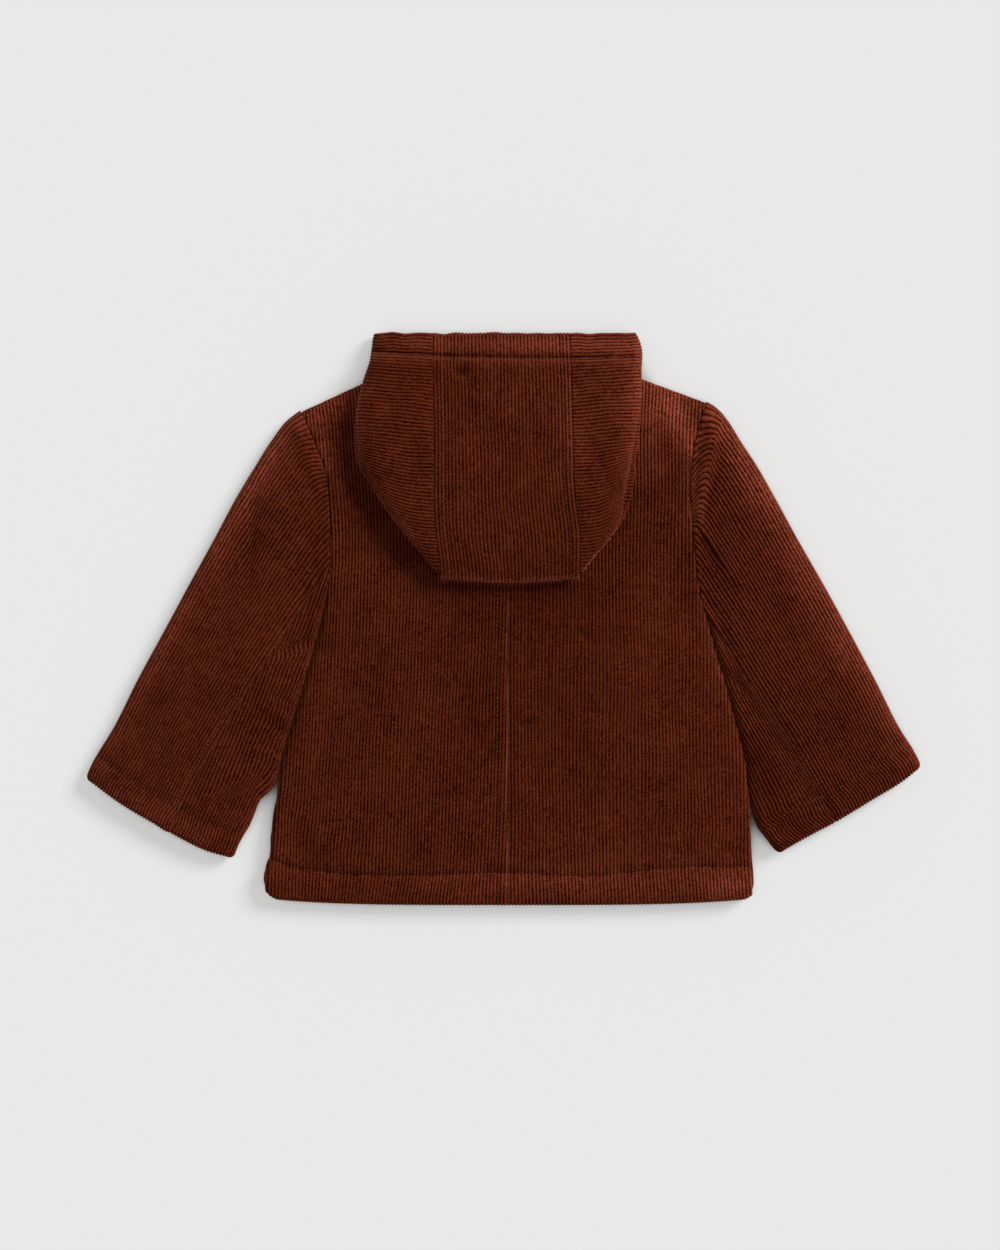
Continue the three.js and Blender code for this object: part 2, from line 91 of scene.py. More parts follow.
# ---- The light: a bright, even room, and a soft window to the right of the coat ----
ROOM_STRENGTH = 0.42
WINDOW_STRENGTH = 3.2
WINDOW_SPREAD = 24  # degrees
WINDOW_FROM = (0.82, 0.57, 0.62)
studio = bpy.data.worlds.new("studio")
studio.use_nodes = True
studio.node_tree.nodes["Background"].inputs["Color"].default_value = (1, 1, 1, 1)
studio.node_tree.nodes["Background"].inputs["Strength"].default_value = ROOM_STRENGTH
bpy.context.scene.world = studio
window_turn = Vector(WINDOW_FROM).to_track_quat("Z", "Y").to_euler()
bpy.ops.object.light_add(type="SUN", location=WINDOW_FROM, rotation=window_turn)
window = bpy.context.object
window.data.angle = math.radians(WINDOW_SPREAD)
window.data.energy = WINDOW_STRENGTH

# ---- The backs: two halves of corduroy over wadding, joined in a centre-back seam ----
# Each is cut A-line from shoulder to hem and turned up at the hem, where a row of stitches holds
# the turning. The wales run down the cloth and the side seams cut across them.
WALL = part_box("front_left")[1][2] / MM
BACK_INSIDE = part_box("back_left")[0][2] / MM
HALF_WALL = WALL / 2
WALE = 2.31
WALE_HEIGHT = 0.65
COLUMN_STEP = 0.43
SEAM_ROUND = 1.6
FLAT_SEAM_ROUND = 0.8
ARMHOLE_ROUND = 2
SIDE_ROUND = 4.4
CENTRE_SEAM_X = 2.6
CENTRE_STITCH = 6.8
SEAM_STEP = 0.5  # the left half stands above the right one along their seam
NECK_POINT = (66, 164)
BACK_NECK_Y = 148
HEM_EDGE = {"centre": -184.5, "side": -180.6}
SHOULDER_TIP = {"left": (-130.5, 132.4), "right": (130.5, 138.6)}
UNDERARM_Y = 4
# Side outlines from the shoulder tip down: rows of y, x.
SIDE = {
    "left": ((133.4, -130.5), (113, -121.6), (95, -115), (74, -112.4), (50, -112.2), (27, -112.8),
             (4, -115.3), (-17, -121.4), (-43, -128.5), (-68, -136), (-92, -143), (-115, -146.6),
             (-140, -150.2), (-153, -151), (-157, -152.4), (-164, -154.4), (-172, -154.2),
             (-178, -151.6), (-181, -147)),
    "right": ((139, 130.5), (126, 126.4), (113, 122.9), (99, 121), (79, 120.4), (61, 121.8),
              (40, 123.6), (22, 125.8), (4, 129.8), (-14, 135.4), (-43, 143.6), (-66, 149.8),
              (-90, 155.5), (-112, 157.8), (-132, 159.4), (-156, 160.3), (-165, 161),
              (-174, 160.9), (-179, 159.4), (-181, 156)),
}
# How far the hem's stitches run above its edge: rows of x, distance.
HEM_STITCH = ((-151, 26), (-138, 22.4), (-106, 19.4), (-73, 18.2), (-29, 19.5), (2, 20.5), (62, 18.5),
              (80, 20.3), (94, 22), (160, 21))
# How far the wales drift sideways on their way down, in the middle and at the side: rows of y.
WALE_DRIFT = {
    "left": (((164, 0), (60, 0), (-60, 3), (-184, 7)),
             ((164, 0), (110, -5), (60, -7.5), (0, -7.5), (-60, -4.5), (-120, -1), (-184, 2.5))),
    "right": (((164, 0), (-184, 0)), ((164, 0), (110, 2), (60, 2.5), (-184, 1))),
}
HEM_LEAN = ((-150, -2), (-110, 2), (-60, 7), (-30, 5), (0, 0), (60, -2.5), (125, -4), (160, -2))  # degrees
BACK_PUFF = 2.8
SHOULDER_SINK = 1.6
# Soft waves of the wadding: rows of height, distance between them, random seed.
BACK_WAVES = ((0.4, 55, 11), (0.08, 17, 12))
# Where a body piece's rows end, as shares: its shoulder, its plain part, its hem. The rest turn under.
SHOULDER_ROWS, PLAIN_ROWS, HEM_ROWS = 0.035, 0.74, 0.94
SHOULDER_LENGTH = 7
HEM_LENGTH = 30
# Soft troughs (-) and ridges (+): from x, y to x, y, half-widths there, height, slip of the wales.
BACK_CREASES = (
    (-100, 20, -118, -40, 9, 9, 0.9, 0.3),
    (-96, 96, -104, 40, 12, 10, -1.2, -0.4),
    (-70, -20, -98, -120, 26, 20, 1.1, 0.4),
    (-40, 5, -30, -90, 18, 22, -1.1, 0.3),
    (60, 20, 96, -80, 24, 20, 1.2, -0.4),
    (104, 60, 112, 0, 10, 8, -1, 0.3),
    (30, -20, 44, -130, 20, 16, -0.9, 0.4),
    (120, -60, 134, -120, 12, 10, -0.8, 0.3),
    (100, 150, 114, 96, 12, 9, 1.2, 0.2),
    (-100, 148, -110, 110, 9, 8, 0.9, -0.2),
    (-140, -120, -128, -152, 7, 6, -0.9, 0.5),
    (-104, 104, -52, 26, 11, 11, -1.8, 0),
    (-125, -135, -95, -158, 9, 7, 0.7, 0.4),
    (-60, -150, 40, -152, 8, 8, 0.5, 0),
    (100, -135, 150, -150, 7, 6, -0.6, 0.3),
)

# Painted light in the cloth's colour: lighter (+) for painted highlights and lit sides, darker (-) for
# painted shade, as above.
PAINTED_LIGHT_TABLE = (
    (102, 150, 120, 114, 14, 7, 1.1, 0),
    (-160, 80, -215, -30, 22, 20, 0.08, 0),
    (160, 80, 225, -40, 20, 20, 0.13, 0),
    (132, 10, 142, -34, 6, 7, 0.2, 0),
    (10, 150, 80, 140, 24, 28, 0.12, 0),
    (-62, 160, -30, 156, 12, 12, -0.12, 0),
    (92, 156, 100, 100, 9, 8, 0.3, 0),
    (134, 138, 168, 78, 9, 10, 0.85, 0),
    (168, 82, 262, -88, 9, 11, 0.48, 0),
    (122, 112, 124, 60, 6, 5, 0.35, 0),
    (86, 178, 84, 96, 10, 9, 0.32, 0),
    (0, 177, 84, 177, 6, 6, 0.42, 0),
    (-60, 178, 0, 178, 6, 6, 0.2, 0),
    (44, 128, 50, 98, 12, 12, 0.2, 0),
    (0, 120, 0, 74, 52, 40, 0.06, 0),
    (-40, 26.5, 4, 23.5, 2, 2, 1.1, 0),
    (4, 23.5, 47, 26.5, 2, 2, 1.1, 0),
    (1.9, -10, 1.9, -180, 0.6, 0.6, 0.33, 0),
    (-94, 150, -94, 98, 4, 4, 0.65, 0),
    (-90, 90, -58, 48, 4, 4, 0.3, 0),
    (-138, 128, -186, 52, 8, 11, 0.6, 0),
    (-186, 50, -266, -92, 9, 9, 0.42, 0),
    (-262, -106, -196, -142, 6, 6, 0.25, 0),
    (-40, -170, 150, -170, 12, 12, 0.26, 0),
    (136, -174, 158, -170, 9, 9, 0.5, 0),
    (-92, 149, -128, 128, 8, 7, 0.5, 0),
    (-118, 122, -114, 100, 5, 5, 0.3, 0),
    (-118, 84, -122, -10, 8, 10, -0.14, 0),
    (-104, 112, -60, 44, 9, 9, -0.08, 0),
    (20, 50, 20, -60, 66, 58, -0.11, 0),
    (-164, -44, -140, -74, 13, 13, -0.09, 0),
    (160, -80, 178, -122, 8, 10, -0.16, 0),
)


def outline(rows):
    """A smooth line through rows of (key, value), read at any key."""
    keys, values = (np.array(column, float) for column in zip(*sorted(rows)))
    slopes = np.gradient(values, keys)

    def read(at):
        at = np.clip(at, keys[0], keys[-1])
        row = np.clip(np.searchsorted(keys, at) - 1, 0, len(keys) - 2)
        gap = keys[row + 1] - keys[row]
        t = (at - keys[row]) / gap
        return (values[row] * (1 + 2 * t) * (1 - t) ** 2 + slopes[row] * gap * t * (1 - t) ** 2
                + values[row + 1] * t * t * (3 - 2 * t) - slopes[row + 1] * gap * t * t * (1 - t))

    return read


def ease(value):
    value = np.clip(value, 0, 1)
    return value * value * (3 - 2 * value)


def drift(x, y, size, seed):
    """Soft, irregular waves between about -1 and 1, `size` apart."""
    draw = np.random.default_rng(seed)
    total = np.zeros(np.broadcast(x, y).shape)
    for _ in range(7):
        angle, phase = draw.uniform(0, 2 * math.pi, 2)
        pace = 2 * math.pi / (size * draw.uniform(0.7, 1.6))
        total = total + np.sin((x * math.cos(angle) + y * math.sin(angle)) * pace + phase)
    return total / 3.2


def waves(x, y, rows):
    return sum(height * drift(x, y, size, seed) for height, size, seed in rows)


def creases(x, y, table):
    """What soft troughs and ridges do at a point: the height they add and how far, in wales, they
    push the wales aside."""
    height, slip = np.zeros(len(x)), np.zeros(len(x))
    for from_x, from_y, to_x, to_y, from_half, to_half, rise, push in table:
        along_x, along_y = to_x - from_x, to_y - from_y
        length = math.hypot(along_x, along_y)
        share = ((x - from_x) * along_x + (y - from_y) * along_y) / length ** 2
        aside = ((x - from_x) * along_y - (y - from_y) * along_x) / length
        half = from_half + (to_half - from_half) * np.clip(share, 0, 1)
        past_end = np.maximum(np.abs(share - 0.5) - 0.5, 0) * length
        fade = np.exp(-(past_end / half) ** 2) * (0.6 + 0.4 * np.sin(math.pi * np.clip(share, 0, 1)))
        shape = fade * np.exp(-(aside / half) ** 2)
        height, slip = height + rise * shape, slip + push * shape
    return height, slip


def wale_height(wales):
    """Rounded ribs with a narrow groove between them."""
    return WALE_HEIGHT * (np.abs(np.sin(math.pi * wales)) ** 0.8 - 0.35)


def edge_drop(inward, radius):
    """How far a rounded edge lies below the face, some way in from it."""
    return radius * (1 - np.sqrt(1 - np.clip(1 - inward / radius, 0, 1) ** 2))


def rolled_edge(run, radius):
    """A cloth edge that rolls down into its seam: how far in from the seam and how far down the
    cloth lies after a run along it. Below the roll it goes straight down."""
    angle = np.clip(run / radius, 0, math.pi / 2)
    inward = radius * (1 - np.cos(angle)) + np.maximum(run - radius * math.pi / 2, 0)
    return inward, radius * (1 - np.sin(angle)) + np.maximum(-run, 0)


def doubled(share, inner):
    """Runs over a padded wall: its outer face from first to last edge, then its inside back by way
    of the columns in `inner`."""
    outer = inner[0]
    count = share * (outer + len(inner) - 1)
    inside = count > outer + 0.01
    back = np.interp(count - outer, np.arange(len(inner)), inner)
    return np.where(inside, back, count) / outer, inside


def rolled(share, inside, width, start_round, end_round):
    """Runs across a piece whose two edges roll down into their seams and go on straight down.
    Gives how far in from the first edge each point lies, how far it has dropped, and how much of
    its relief shows."""
    extra = (math.pi / 2 - 1) * (start_round + end_round)
    run = share * (2 * WALL - start_round - end_round + width + extra) - (WALL - start_round)
    start_in, start_drop = rolled_edge(run, start_round)
    end_in, end_drop = rolled_edge(width + extra - run, end_round)
    inward = np.where(run < width / 2, start_in, width - end_in)
    below = np.maximum(-run, 0) + np.maximum(run - width - extra, 0)
    inward, drop = np.where(inside, share * width, inward), np.where(inside, WALL, start_drop + end_drop)
    return inward, drop, (1 - ease(below / 1.2)) * ~inside


def pressed(depth):
    """The share of the wales' height that is left: they are pressed where the cloth turns under."""
    return 1 - 0.7 * (depth > HALF_WALL)


def turned_edge(share):
    """Runs over a turned edge from the outer face to the inside: how far in from the edge each
    point lies, and how deep it is under the outer face."""
    angle = math.pi * np.clip(share, 0, 1)
    return HALF_WALL * (1 - np.sin(angle)), HALF_WALL * (1 - np.cos(angle))


def lay_cloth(name, inner, rows, place):
    """One cut piece of cloth round its wadding. A flat grid is moved to where the cloth lies, over
    its face and back inside by way of the columns in `inner`. Its first and last rows end on the
    inside, so that the wall closes there. Its UV map counts wales across and millimetres along."""
    outer = int(inner[0])
    columns = outer + len(inner) - 1
    bpy.ops.mesh.primitive_grid_add(x_subdivisions=columns, y_subdivisions=rows, size=2)
    piece = bpy.context.object
    piece.name = piece.data.name = name
    mesh = piece.data
    count = len(mesh.vertices)
    points = np.empty(count * 3)
    mesh.vertices.foreach_get("co", points)
    across, down = (points.reshape(-1, 3)[:, :2].T + 1) / 2
    x, y, z, relief, wales, along = place(across, down)
    points = np.stack([x, y, z], 1).reshape(rows + 1, columns + 1, 3) * MM
    relief = relief.reshape(rows + 1, columns + 1)
    nearest = np.abs(np.arange(outer + 1)[:, None] - inner).argmin(1)
    for end in (0, rows):
        points[end, :outer + 1] = points[end, outer + nearest]
        relief[end] = 0
    points, relief = points.reshape(-1, 3), relief.ravel()
    # Painted light and shade for the cloth's colour, kept on the points from the table of painted
    # highlights and shade.
    painted_light = creases(x, y, PAINTED_LIGHT_TABLE)[0] * (relief != 0)
    mesh.vertices.foreach_set("co", points.ravel())
    corners = np.empty(len(mesh.loops), dtype=np.int32)
    mesh.loops.foreach_get("vertex_index", corners)
    mesh.uv_layers[0].name = "cloth"
    mesh.uv_layers[0].data.foreach_set("uv", np.stack([wales, along], 1)[corners].ravel())
    mesh.attributes.new("painted_light", "FLOAT", "POINT").data.foreach_set("value", painted_light)
    mesh.update()
    normals = np.empty(count * 3)
    mesh.vertex_normals.foreach_get("vector", normals)
    normals = normals.reshape(-1, 3)
    outward = math.copysign(MM, normals[np.argmax(z), 2])
    points += normals * (relief * outward)[:, None]
    mesh.vertices.foreach_set("co", points.ravel())
    mesh.update()
    bpy.ops.object.mode_set(mode="EDIT")
    bpy.ops.mesh.select_all(action="SELECT")
    bpy.ops.mesh.remove_doubles(threshold=0.01 * MM)
    bpy.ops.mesh.fill_holes(sides=0)
    bpy.ops.mesh.select_all(action="SELECT")
    bpy.ops.mesh.normals_make_consistent(inside=False)
    bpy.ops.object.mode_set(mode="OBJECT")
    bpy.ops.object.shade_smooth()
    bpy.ops.object.select_all(action="DESELECT")
    return piece


def corduroy_material():
    """Cut-pile cotton: ribs of rust pile with painted shade in the grooves between them, painted light and
    shade laid over the ribs from a point attribute, and a soft sheen along the ribs.
    """
    material = bpy.data.materials.new("rust_corduroy")
    material.use_nodes = True
    nodes, links = material.node_tree.nodes, material.node_tree.links
    surface = nodes["Principled BSDF"]
    surface.inputs["Roughness"].default_value = 0.95
    surface.inputs["Specular IOR Level"].default_value = 0
    surface.inputs["Sheen Weight"].default_value = 0.6
    surface.inputs["Sheen Roughness"].default_value = 0.35
    surface.inputs["Sheen Tint"].default_value = (1, 0.34, 0.2, 1)

    cloth = nodes.new("ShaderNodeUVMap")
    cloth.uv_map = "cloth"
    split = nodes.new("ShaderNodeSeparateXYZ")
    links.new(cloth.outputs["UV"], split.inputs["Vector"])
    place = nodes.new("ShaderNodeTexCoord")

    def maths(operation, first, second=None):
        node = nodes.new("ShaderNodeMath")
        node.operation = operation
        for socket, value in zip(node.inputs, (first, second)):
            if isinstance(value, (int, float)):
                socket.default_value = value
            elif value is not None:
                links.new(value, socket)
        return node.outputs["Value"]

    def uneven(scale, detail, amount):
        """Noise about zero, `scale` waves to the metre."""
        node = nodes.new("ShaderNodeTexNoise")
        node.inputs["Scale"].default_value = scale
        node.inputs["Detail"].default_value = detail
        links.new(place.outputs["Object"], node.inputs["Vector"])
        return maths("MULTIPLY", maths("SUBTRACT", node.outputs["Fac"], 0.5), amount)

    # The tone falls to near black in the grooves between the ribs: painted shade in the grooves, with
    # random tone from the noise layers on top.
    rib = maths("ABSOLUTE", maths("SINE", maths("MULTIPLY", split.outputs["X"], math.pi)))
    fibres = uneven(1000, 3, 1.7)
    brushed = uneven(260, 3, 0.5)
    tone = maths("MULTIPLY", maths("POWER", rib, 1.2), 0.62)
    for layer in (fibres, brushed, uneven(70, 2, 0.25), uneven(17, 3, 0.28)):
        tone = maths("ADD", tone, layer)
    # The ramp runs from the painted groove shade up to the crests' rust.
    ramp = nodes.new("ShaderNodeValToRGB")
    ramp.color_ramp.elements[0].position = 0.02
    ramp.color_ramp.elements[0].color = (0.016, 0.0003, 0.0001, 1)
    ramp.color_ramp.elements[1].position = 0.85
    ramp.color_ramp.elements[1].color = (0.138, 0.0262, 0.0108, 1)
    links.new(tone, ramp.inputs["Fac"])
    # Painted light: the point attribute adds a pale, pinkish colour to the ribs as painted highlights, and
    # takes it away as painted shade.
    painted_light = nodes.new("ShaderNodeAttribute")
    painted_light.attribute_name = "painted_light"
    painted_light_tint = nodes.new("ShaderNodeVectorMath")
    painted_light_tint.operation = "SCALE"
    painted_light_tint.inputs[0].default_value = (0.26, 0.056, 0.031)
    links.new(maths("MULTIPLY", painted_light.outputs["Fac"], maths("ADD", tone, 0.1)), painted_light_tint.inputs["Scale"])
    whole = nodes.new("ShaderNodeVectorMath")
    whole.operation = "ADD"
    links.new(ramp.outputs["Color"], whole.inputs[0])
    links.new(painted_light_tint.outputs["Vector"], whole.inputs[1])
    links.new(whole.outputs["Vector"], surface.inputs["Base Color"])

    bump = nodes.new("ShaderNodeBump")
    bump.inputs["Strength"].default_value = 0.6
    bump.inputs["Distance"].default_value = 0.3 * MM
    links.new(maths("ADD", fibres, brushed), bump.inputs["Height"])
    links.new(bump.outputs["Normal"], surface.inputs["Normal"])
    return material


corduroy = corduroy_material()
side_x = {side: outline(rows) for side, rows in SIDE.items()}
hem_stitch = outline(HEM_STITCH)
hem_lean = outline(HEM_LEAN)
WAYS = {"left": -1, "right": 1}


def turned_hem(from_edge, stitch, beside, fullness, pull):
    """A turned edge: a soft roll up to its stitches, the groove that they pull, and puckers."""
    roll = fullness * np.sin(math.pi * np.clip(from_edge / stitch, 0, 1)) ** 0.7
    near = from_edge - stitch
    groove = -pull * np.exp(-(near / 1.8) ** 2) + 0.5 * np.exp(-((near - 6) / 4) ** 2)
    pucker = 0.45 * drift(beside, 0 * beside, 8, 6) * np.exp(-(near / 6) ** 2)
    return roll * (from_edge < stitch) + groove + pucker


def wear(piece, node):
    """Gives a piece its cloth and its place in the coat."""
    piece.data.materials.append(corduroy)
    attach(piece, "root")
    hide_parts(node)


def body_rows(down, length, inside):
    """Rows from the shoulder or neck to the inside of the hem: how far down the piece each row
    lies, and how deep under the outer face."""
    plain = np.interp(down, (0, SHOULDER_ROWS, PLAIN_ROWS), (0, 1, 2))
    plain_length = length - HEM_LENGTH - SHOULDER_LENGTH
    beyond = SHOULDER_LENGTH * np.minimum(plain, 1) + plain_length * np.maximum(plain - 1, 0)
    beyond = beyond + np.interp(down, (PLAIN_ROWS, HEM_ROWS), (0, HEM_LENGTH - HALF_WALL))
    turn_in, depth = turned_edge((down - HEM_ROWS) / (1 - HEM_ROWS))
    beyond = np.where(down > HEM_ROWS, length - np.where(inside, HALF_WALL, turn_in), beyond)
    return beyond, np.where(inside, 0, depth)


def hem_edge(across):
    """The y of the body's lower edge, for a share of a half's width."""
    return HEM_EDGE["centre"] + (HEM_EDGE["side"] - HEM_EDGE["centre"]) * across ** 4


def kept_height(drop, depth, beyond):
    """The share of its height that a wall keeps where it rolls down, turns in or starts."""
    return (1 - np.clip(drop / WALL, 0, 1)) * (1 - depth / WALL) * (1 - edge_drop(beyond, WALL) / WALL)


def side_round(y):
    """How round the body's edge is: a little along the armhole, and more down the side."""
    return ARMHOLE_ROUND + (SIDE_ROUND - ARMHOLE_ROUND) * ease((UNDERARM_Y - y) / 16)


def top_and_hem(across, side, centre_x, neck_y, power):
    """The y of a body piece's shoulder or neck, and of its hem, for a share of its width."""
    tip_x, tip_y = SHOULDER_TIP[side]
    neck_share = (WAYS[side] * NECK_POINT[0] - centre_x) / (tip_x - centre_x)
    top_y = np.where(
        across < neck_share, neck_y + (NECK_POINT[1] - neck_y) * (across / neck_share) ** power,
        NECK_POINT[1] + (tip_y - NECK_POINT[1]) * (across - neck_share) / (1 - neck_share))
    return top_y, hem_edge(across)


def back_half(side):
    way = WAYS[side]
    middle_drift, side_drift = (outline(rows) for rows in WALE_DRIFT[side])
    inner = np.linspace(386, 0, 13)

    def place(across, down):
        share, inside = doubled(across, inner)
        top_y, bottom_y = top_and_hem(share, side, CENTRE_SEAM_X, BACK_NECK_Y, 2)
        beyond, depth = body_rows(down, top_y - bottom_y, inside)
        y = top_y - beyond
        width = np.abs(side_x[side](y) - CENTRE_SEAM_X)
        inward, drop, shows = rolled(share, inside, width, FLAT_SEAM_ROUND, side_round(y))
        x = CENTRE_SEAM_X + way * inward
        from_edge = y - bottom_y
        stitch = hem_stitch(x) + 0.5 * drift(x, 0 * x, 30, 5)
        puff = (BACK_PUFF * (1 - np.clip(inward / width, 0, 1) ** 4)
                * ease((24 - y) / 60) * ease((y + 186) / 50))
        folds, slip = creases(x, y, BACK_CREASES)
        lift = puff + folds + waves(x, y, BACK_WAVES)
        lift = lift * (0.85 + 0.15 * ease(inward / 6)) * ease((width - inward) / 9)
        lift = lift + turned_hem(from_edge, stitch, x, fullness=1.4, pull=1.1)
        if side == "left":
            stitched = np.exp(-((inward - CENTRE_STITCH) / 1.2) ** 2)
            lift = lift + 0.4 * (inward < CENTRE_STITCH) - 0.6 * stitched
        lift = lift - way * SEAM_STEP * np.exp(-inward / 3)
        lift = lift - SHOULDER_SINK * (1 - ease(beyond / 32)) * (np.abs(x) > 60)
        z = BACK_INSIDE + (WALL + lift) * kept_height(drop, depth, beyond)
        sideways = middle_drift(y) + (side_drift(y) - middle_drift(y)) * np.clip(inward / 100, 0, 1.4)
        hem_slant = np.tan(np.radians(hem_lean(x))) * np.maximum(stitch - from_edge, 0)
        wales = (x + sideways + hem_slant) / WALE + slip + 0.12 * drift(x, y, 60, 13)
        relief = wale_height(wales) * shows * pressed(depth)
        return x, y, z, relief, wales, y

    piece = lay_cloth(f"back_{side}_cloth", inner, 228, place)
    wear(piece, f"back_{side}")
    return piece


backs = {side: back_half(side) for side in WAYS}

# ---- The fronts: under the backs, with their outside on the table ----
# Only their side and hem edges can be seen. They meet edge to edge in the middle.
FRONT_NECK_Y = 115
FRONT_EDGE = 0.3


def front_half(side):
    way = WAYS[side]
    inner = np.linspace(110, 0, 7)

    def place(across, down):
        share, inside = doubled(across, inner)
        top_y, bottom_y = top_and_hem(share, side, way * FRONT_EDGE, FRONT_NECK_Y, 1.7)
        beyond, depth = body_rows(down, top_y - bottom_y, inside)
        y = top_y - beyond
        width = np.abs(side_x[side](y)) - FRONT_EDGE
        inward, drop, shows = rolled(share, inside, width, SEAM_ROUND, side_round(y))
        x = way * (FRONT_EDGE + inward)
        z = WALL * (1 - kept_height(drop, depth, beyond))
        wales = x / WALE
        relief = (wale_height(wales) - 0.65 * WALE_HEIGHT) * shows * ease(z / 1.5) * (depth < 4.5)
        return x, y, z, relief, wales, y

    piece = lay_cloth(f"front_{side}_cloth", inner, 60, place)
    wear(piece, f"front_{side}")


for side in WAYS:
    front_half(side)

# ---- The top sleeves: from the shoulder round the outer fold to the back seam ----
# Each is one piece over wadding: its upper face, the fold, and the face that lies on the table.
# Its head is eased into the armhole and its cuff is turned in and stitched.
HALF_LAYERS = (BACK_INSIDE + WALL) / 2
TWO_LAYERS = 2 * HALF_LAYERS
SEAM_GAP = 0.06
CUFF_STITCH = 16.2
SLEEVE_RELIEF = 1.6
SLEEVE_WALE = 2.1
SLEEVE_WAVES = ((0.35, 45, 21), (0.14, 15, 22))
# Where a sleeve piece's rows end, as shares: its head, its plain part, its cuff. The rest turn in.
HEAD_ROWS, SLEEVE_ROWS, CUFF_ROWS = 0.01, 0.76, 0.94
CUFF_LENGTH = 24
SLEEVE_HEAD = {
    "left": ((-131, 134.4), (-121.6, 113), (-115, 95), (-112.4, 74), (-112.2, 50), (-112.7, 31.5)),
    "right": ((130.7, 140.2), (126.4, 126), (122.9, 113), (121, 99), (120.4, 79), (121.8, 61),
              (123.6, 40), (125.8, 22), (128.6, 8)),
}
BACK_SEAM = {
    "left": ((-127.7, 10), (-146.5, -17.5), (-166.3, -48), (-182.3, -75), (-197.7, -101),
             (-207, -119), (-215.4, -137.6)),
    "right": ((141, -12), (156.5, -37), (170, -58.5), (187, -85), (200.5, -108), (214, -131)),
}
OUTER_FOLD = {
    "left": ((-137.7, 129.6), (-150, 114), (-159.6, 98.7), (-169.3, 83), (-186, 52), (-203, 21),
             (-219.6, -9.7), (-236.4, -40.6), (-252, -71.6), (-261.5, -87), (-266, -95)),
    "right": ((136, 137.4), (143, 129.6), (153, 114), (163, 98.7), (172, 83), (189, 52),
              (206.7, 21), (223.5, -9.7), (240, -40.6), (255.7, -71.6), (265.4, -87)),
}
CUFF_TIP = {"left": (-269.3, -102.6), "right": (269.3, -94.8)}
TOP_CUFF = {"left": ((-248.6, -118),), "right": ((260, -102.6), (235, -118.2))}
CURL_REACH = 12
# How far the wales slip down along the armhole seam: rows of distance from the shoulder, slip.
HEAD_CURL = {
    "left": ((0, 0), (12, 4), (28, 7), (45, 5), (60, 2), (105, 1)),
    "right": ((0, 0), (10, 9), (25, 20), (50, 20), (64, 13), (78, 4), (95, 1), (135, 0)),
}
SLEEVE_CREASES = {
    "left": (
        (-131, 121, -118, 84, 5, 3.5, 1.5, 0),
        (-137, 123, -158, 86, 3.5, 4, -0.9, 0.3),
        (-162, 84, -165, 24, 5, 6, -1.1, 0.5),
        (-150, 100, -150, 40, 9, 9, 0.8, -0.3),
        (-131, 14, -115, 27, 2.5, 3, -0.8, 0.5),
        (-135, 24, -116, 44, 4, 4, 0.7, 0),
        (-190, 10, -230, -70, 10, 10, 0.9, 0.2),
        (-165, 5, -200, -66, 9, 8, -0.8, -0.3),
        (-179, -44, -168, -52, 2.5, 3, -0.9, 0.6),
        (-215, -60, -235, -98, 8, 8, -0.8, 0.3),
        (-180, 50, -205, 8, 6, 8, 0.6, -0.3),
    ),
    "right": (
        (132.5, 120, 124.5, 66, 7, 3, 2.1, 0),
        (143, 120, 130, 70, 4.2, 3.5, -1.5, 0.4),
        (122.2, 66.7, 151.8, 24.2, 4, 4, 1.3, -0.3),
        (127, 54, 138, 34, 3.2, 3.2, -1.3, 0.5),
        (146.9, 64, 153, 52, 4, 4, -0.9, 0.5),
        (127, 25, 147, 2, 3, 3, 0.9, 0),
        (127, 15, 139, 1, 2.6, 2.6, -0.9, 0.3),
        (162, 84, 176, 50, 9, 9, 0.9, 0.2),
        (160, 30, 190, -30, 8, 9, -0.8, -0.3),
        (186, 20, 214, -40, 9, 9, 0.8, 0.2),
        (205, -30, 236, -76, 8, 8, -0.9, 0.3),
        (180, -44, 210, -94, 8, 8, 0.7, -0.2),
    ),
}


def run_along(points):
    """How far along a line each of its points lies."""
    return np.concatenate([[0], np.cumsum(np.hypot(*np.diff(points, axis=0).T))])


def line_through(points):
    """A smooth line through points, read at shares of its length."""
    points = np.array(points, float)
    lengths = run_along(points)
    read_x, read_y = (outline(zip(lengths / lengths[-1], points[:, axis])) for axis in (0, 1))
    return lambda share: np.stack([read_x(share), read_y(share)], -1)


def fanned(points, fold):
    """A line read at shares of the way out from a fold, so that wales that start from it run
    side by side."""
    line = line_through(points)(np.linspace(0, 1, 80))
    way = np.subtract(fold[1], fold[0])
    out = np.abs((line[:, 0] - fold[0][0]) * way[1] - (line[:, 1] - fold[0][1]) * way[0])
    shares = np.maximum.accumulate(out) / out.max()
    return lambda share: np.stack([np.interp(share, shares, line[:, axis]) for axis in (0, 1)], -1)


def patch(edges, across, down):
    """A point of the sheet that four edges span: fold and seam run down it, head and cuff across."""
    fold, seam, head, cuff = edges
    share, step = across[:, None], down[:, None]

    def straight(side):
        first, last = side(np.array([0.0, 1.0]))
        return first + (last - first) * step

    return (head(across) * (1 - step) + cuff(across) * step + (1 - share) * (fold(down) - straight(fold))
            + share * (seam(down) - straight(seam)))


def gap_to(x, y, line):
    """How far points lie from a line, and how far along it."""
    ends = line(np.linspace(0, 1, 60))
    nearest, along = np.full(len(x), np.inf), np.zeros(len(x))
    run = 0
    for first, last in zip(ends[:-1], ends[1:]):
        step = last - first
        length = np.hypot(*step)
        share = np.clip(((x - first[0]) * step[0] + (y - first[1]) * step[1]) / length ** 2, 0, 1)
        gap = np.hypot(x - first[0] - share * step[0], y - first[1] - share * step[1])
        closer = gap < nearest
        nearest, along = np.where(closer, gap, nearest), np.where(closer, run + share * length, along)
        run += length
    return nearest, along


